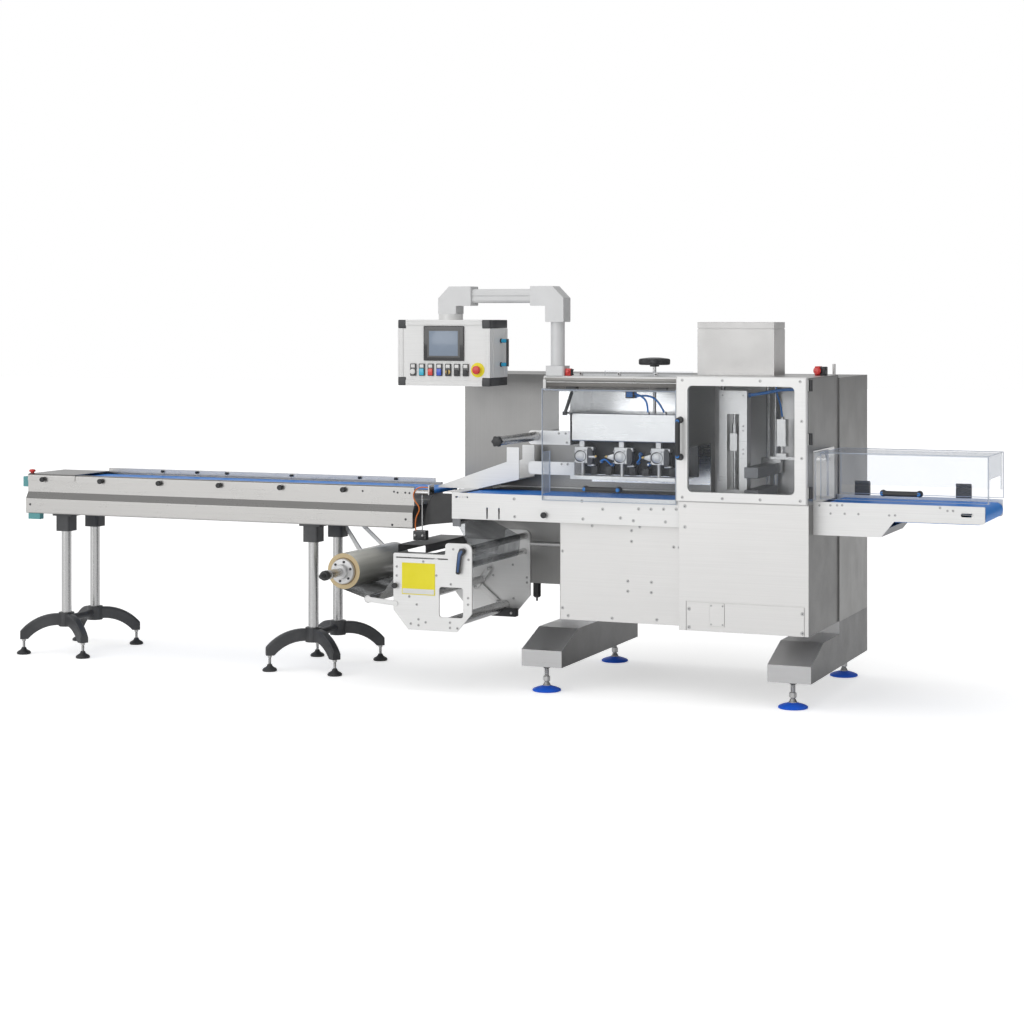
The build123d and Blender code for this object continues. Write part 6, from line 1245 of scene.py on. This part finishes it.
connector = Piece("hose_connector")
connector.add(block((800, -150, 1356), (840, -110, 1452), 3.0), "black_casting")
connector.add(block((806, -152, 1362), (836, -148, 1392), 2.0), "blue_fitting")
for y, z in ((-130, 1378), (-120, 1364)):
    connector.add(turned(cap(8, 8, 6, 10), (838, y, z), "X", 16), "blue_fitting")
for *place, way in HEXAGONS:
    connector.add(turned(cap(9, 8, 7, 11), place, way, 6), "bolt_steel")
for *place, way in TRUNK_ENDS:
    connector.add(turned(cap(11, 9, 9, 12), place, way, 20), "blue_fitting")
connector.done("machine", "blue_hose", "air_hoses")

# %% [markdown]
# Screws repeat all over the machine, so a Geometry Nodes tree makes them: it puts a button head
# with a washer and a dark hexagon recess on every point of a mesh, turned along one direction.
# Realize Instances makes them real geometry, and the result is kept as a plain mesh.

# %% Screw tree
SCREW_INPUTS = {
    "Places": "Geometry", "Head radius": "Float", "Head height": "Float", "Washer radius": "Float",
    "Washer height": "Float", "Outward": "Vector", "Head finish": "Material",
    "Recess finish": "Material",
}
RECESS = {"Name": "recess"}


def screw_tree():
    """Node tree that sets a screw on every point."""
    group = bpy.data.node_groups.new("screw_heads", "GeometryNodeTree")
    for name, kind in SCREW_INPUTS.items():
        group.interface.new_socket(name=name, in_out="INPUT", socket_type="NodeSocket" + kind)
    group.interface.new_socket(name="Screws", in_out="OUTPUT", socket_type="NodeSocketGeometry")
    tree = Tree(group)
    given = tree.add("NodeGroupInput").outputs
    recess_radius = tree.math("MULTIPLY", given["Head radius"], 0.5)
    recess_height = tree.math("MULTIPLY", given["Head height"], 1.06)
    joined = tree.add("GeometryNodeJoinGeometry")
    for sides, radius, taper, height, is_recess in (
            (12, given["Head radius"], 0.72, given["Head height"], False),
            (14, given["Washer radius"], 0.94, given["Washer height"], False),
            (6, recess_radius, 0.98, recess_height, True)):
        disc = tree.add("GeometryNodeMeshCone", {
            "Vertices": sides, "Radius Bottom": radius,
            "Radius Top": tree.math("MULTIPLY", radius, taper), "Depth": height})
        marked = tree.add("GeometryNodeStoreNamedAttribute",
                          {**RECESS, "Value": is_recess, "Geometry": disc.outputs["Mesh"]},
                          data_type="BOOLEAN", domain="FACE")
        tree.feed(joined, {0: marked.outputs["Geometry"]})
    turn = tree.add("FunctionNodeAlignRotationToVector", {"Vector": given["Outward"]}, axis="Z")
    spread = tree.add("GeometryNodeInstanceOnPoints", {
        "Points": given["Places"], "Instance": joined.outputs[0],
        "Rotation": turn.outputs["Rotation"]})
    real = tree.add("GeometryNodeRealizeInstances", {"Geometry": spread.outputs["Instances"]})
    head = tree.add("GeometryNodeSetMaterial", {
        "Geometry": real.outputs["Geometry"], "Material": given["Head finish"]})
    in_recess = tree.add("GeometryNodeInputNamedAttribute", RECESS, data_type="BOOLEAN")
    recess = tree.add("GeometryNodeSetMaterial", {
        "Geometry": head.outputs["Geometry"], "Selection": in_recess.outputs["Attribute"],
        "Material": given["Recess finish"]})
    tree.add("NodeGroupOutput", {0: recess.outputs["Geometry"]})
    return group


SCREWS = screw_tree()
print("screw tree inputs", len(SCREW_INPUTS))

# %% [markdown]
# A row of screws starts as a mesh of bare points on one upright face. The tree's sizes are set by
# the sockets' identifiers before the row is first evaluated. The result replaces the points, so
# that no modifier is left on the piece.

# %% Screws on a face
SCREW_SOCKETS = {item.name: item.identifier for item in SCREWS.interface.items_tree
                 if item.in_out == "INPUT"}
HEAD_SHARE = 0.62
WASHER_HEIGHT = 1.2


def screws(name, body, face, places, size, finish="bolt_steel"):
    """Screw heads at (x, z) places on the face at depth y, kept as a plain mesh."""
    radius, washer = size
    mesh = bpy.data.meshes.new(name)
    mesh.from_pydata([at(x, face, z) for x, z in places], [], [])
    made = put(name, mesh)
    modifier = made.modifiers.new("screws", "NODES")
    modifier.node_group = SCREWS
    for socket, value in (
            ("Head radius", radius * MM), ("Head height", radius * HEAD_SHARE * MM),
            ("Washer radius", washer * MM), ("Washer height", WASHER_HEIGHT * MM),
            ("Outward", WAYS["-Y"]), ("Head finish", finishes[finish]),
            ("Recess finish", finishes["bolt_dark"])):
        modifier[SCREW_SOCKETS[socket]] = value
    depsgraph = bpy.context.evaluated_depsgraph_get()
    plain_mesh = bpy.data.meshes.new_from_object(made.evaluated_get(depsgraph))
    made.modifiers.clear()
    made.data = plain_mesh
    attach(made, body)
    print(name, len(places), "screws,", len(plain_mesh.polygons), "faces")


print("screw inputs", sorted(SCREW_SOCKETS))

# %% [markdown]
# All rows look towards the operator. Each is given by its face, the places of its screws, and a
# size: the head's radius and the washer's. The depths of the faces come from the CAD model.

# %% Screw rows
TINY, SMALL, MEDIUM = (3.5, 5.0), (4.0, 6.0), (4.5, 6.5)
NARROW, USUAL, WIDE = (5.0, 7.5), (5.0, 8.0), (5.5, 9.0)
CABINET_FACE, SEALING_FACE, DOOR_FACE, OUTFEED_FACE = -218, -342, -370, -262
REAR_PLATE_FACE, BRACKET_FACE, COLUMN_FACE = 183, -110, -100
INFEED_UPPER_FACE, INFEED_LOWER_FACE, COVER_FACE = -168, -188, -345

screws("rail_screws", "machine", RAIL_FRONT, [
    (315, 889), (318, 807), (650, 890), (655, 808), (751, 856), (837, 819), (899, 809), (924, 863),
    (983, 864), (1043, 866), (1102, 868), (1052, 809)], USUAL)
screws("middle_cabinet_screws", "machine", CABINET_FACE, [
    (662, 768), (854, 753), (854, 704), (894, 772), (1057, 686), (1083, 685), (516, 646),
    (836, 521), (950, 521), (836, 475), (950, 474), (516, 383), (760, 347), (976, 351),
    (544, 348)], USUAL)
screws("sealing_cabinet_screws", "machine", SEALING_FACE, [
    (1150, 885), (1150, 792), (1170, 427), (1170, 345), (1690, 430), (1690, 345)], WIDE)
screws("door_screws", "sealing_door", DOOR_FACE, [
    (1147, 1450), (1333, 1450), (1506, 1450), (1687, 1450), (1694, 1276), (1694, 1114),
    (1687, 927), (1147, 927), (1333, 927), (1506, 927)], NARROW)
screws("outfeed_screws", "machine", OUTFEED_FACE, [
    (1746, 902), (1795, 904), (1825, 905), (1848, 906), (1796, 868), (1859, 869), (1920, 870),
    (2056, 869), (2082, 870), (2278, 909), (2310, 897), (2334, 898)], SMALL)
screws("unwinder_screws", "machine", UNWIND_FRONT, [
    (100, 668), (176, 623), (-186, 577), (-186, 535), (15, 544), (-122, 441), (88, 507),
    (-84, 406), (174, 448), (174, 418), (-75, 338), (-114, 316), (-75, 311), (-39, 326), (84, 331),
    (84, 307), (121, 307), (-51, 605)], MEDIUM)
screws("rear_plate_screws", "machine", REAR_PLATE_FACE, [
    (102, 522), (176, 463), (176, 438), (-2, 466), (105, 358), (169, 583)], MEDIUM)
screws("bracket_screws", "machine", BRACKET_FACE, [
    (456, 1185), (490, 1185), (496, 1142), (470, 1041), (500, 1041)], MEDIUM)
screws("infeed_side_screws", "machine", INFEED_UPPER_FACE, [
    (-353, 886), (-312, 887), (-290, 886), (-372, 890), (-540, 888), (-2440, 890)],
    TINY, "bolt_dark")
screws("lower_face_screws", "machine", INFEED_LOWER_FACE, [(-372, 732), (-301, 761), (-2440, 762)],
       SMALL, "bolt_dark")
screws("column_screws", "machine", COLUMN_FACE, [
    (1350, 1235), (1350, 1215), (1350, 1130), (1350, 1110), (1253, 1375), (1350, 1375),
    (1253, 930), (1350, 930)], TINY)

# %% [markdown]
# Inside the unwinder two flat arms cross each other on the rear plate and press the film. Each has
# rounded ends with a bolt. A black block with two nuts sits under the rear plate.

# %% Unwinder arms
HALF_WIDTH = 12.0
ROUND_STEPS = 6
HEX_HEAD = cap(9, 4, 6, 6)


def leaning_arm(piece, start, end, near, far):
    """Flat arm with rounded ends from one (x, z) place to another."""
    along = Vector((end[0] - start[0], end[1] - start[1])).normalized()
    outline = []
    for centre, turn in ((end, -90.0), (start, 90.0)):
        for step in range(ROUND_STEPS + 1):
            angle = math.radians(turn + step * 180.0 / ROUND_STEPS)
            away = along * math.cos(angle) + Vector((-along.y, along.x)) * math.sin(angle)
            outline.append((centre[0] + away.x * HALF_WIDTH, centre[1] + away.y * HALF_WIDTH))
    piece.add(slab(outline, near, far), "light_plate")
    for x, z in (start, end):
        piece.add(turned(HEX_HEAD, (x, near, z), "-Y", 6), "bolt_steel")


arms = Piece("unwinder_press_arms")
leaning_arm(arms, (-16, 500), (-87, 407), 160.0, 168.0)
leaning_arm(arms, (-69, 420), (28, 340), 170.0, 178.0)
arms.add(turned([(9, 0), (9, 24)], (-16, 184, 500), "-Y", 16), "turned_steel")
arms.add(turned([(9, 0), (9, 14)], (28, 184, 340), "-Y", 16), "turned_steel")
arms.add(block((20, 100, 279), (151, 140, 318), 4.0), "black_casting")
for x in (40.0, 128.0):
    arms.add(turned(cap(7, 4, 5, 6), (x, 100, 298), "-Y", 6), "bolt_steel")
arms.done("machine", "white_plate")

# %% [markdown]
# A small plate with four screws covers a hole in the access panel, low on the sealing cabinet.

# %% Access panel plate
plate = Piece("small_cover_plate")
plate.add(block((1266, COVER_FACE, 354), (1335, -341.5, 456), 0.6, 1), "ground_sheet")
plate.done("machine", "brushed_steel")
screws("small_cover_screws", "machine", COVER_FACE, [
    (x, z) for x in (1274, 1327) for z in (363, 446)], TINY)

# %% [markdown]
# The Standard view keeps white surfaces white.

# %% View transform
bpy.context.scene.view_settings.view_transform = "Standard"
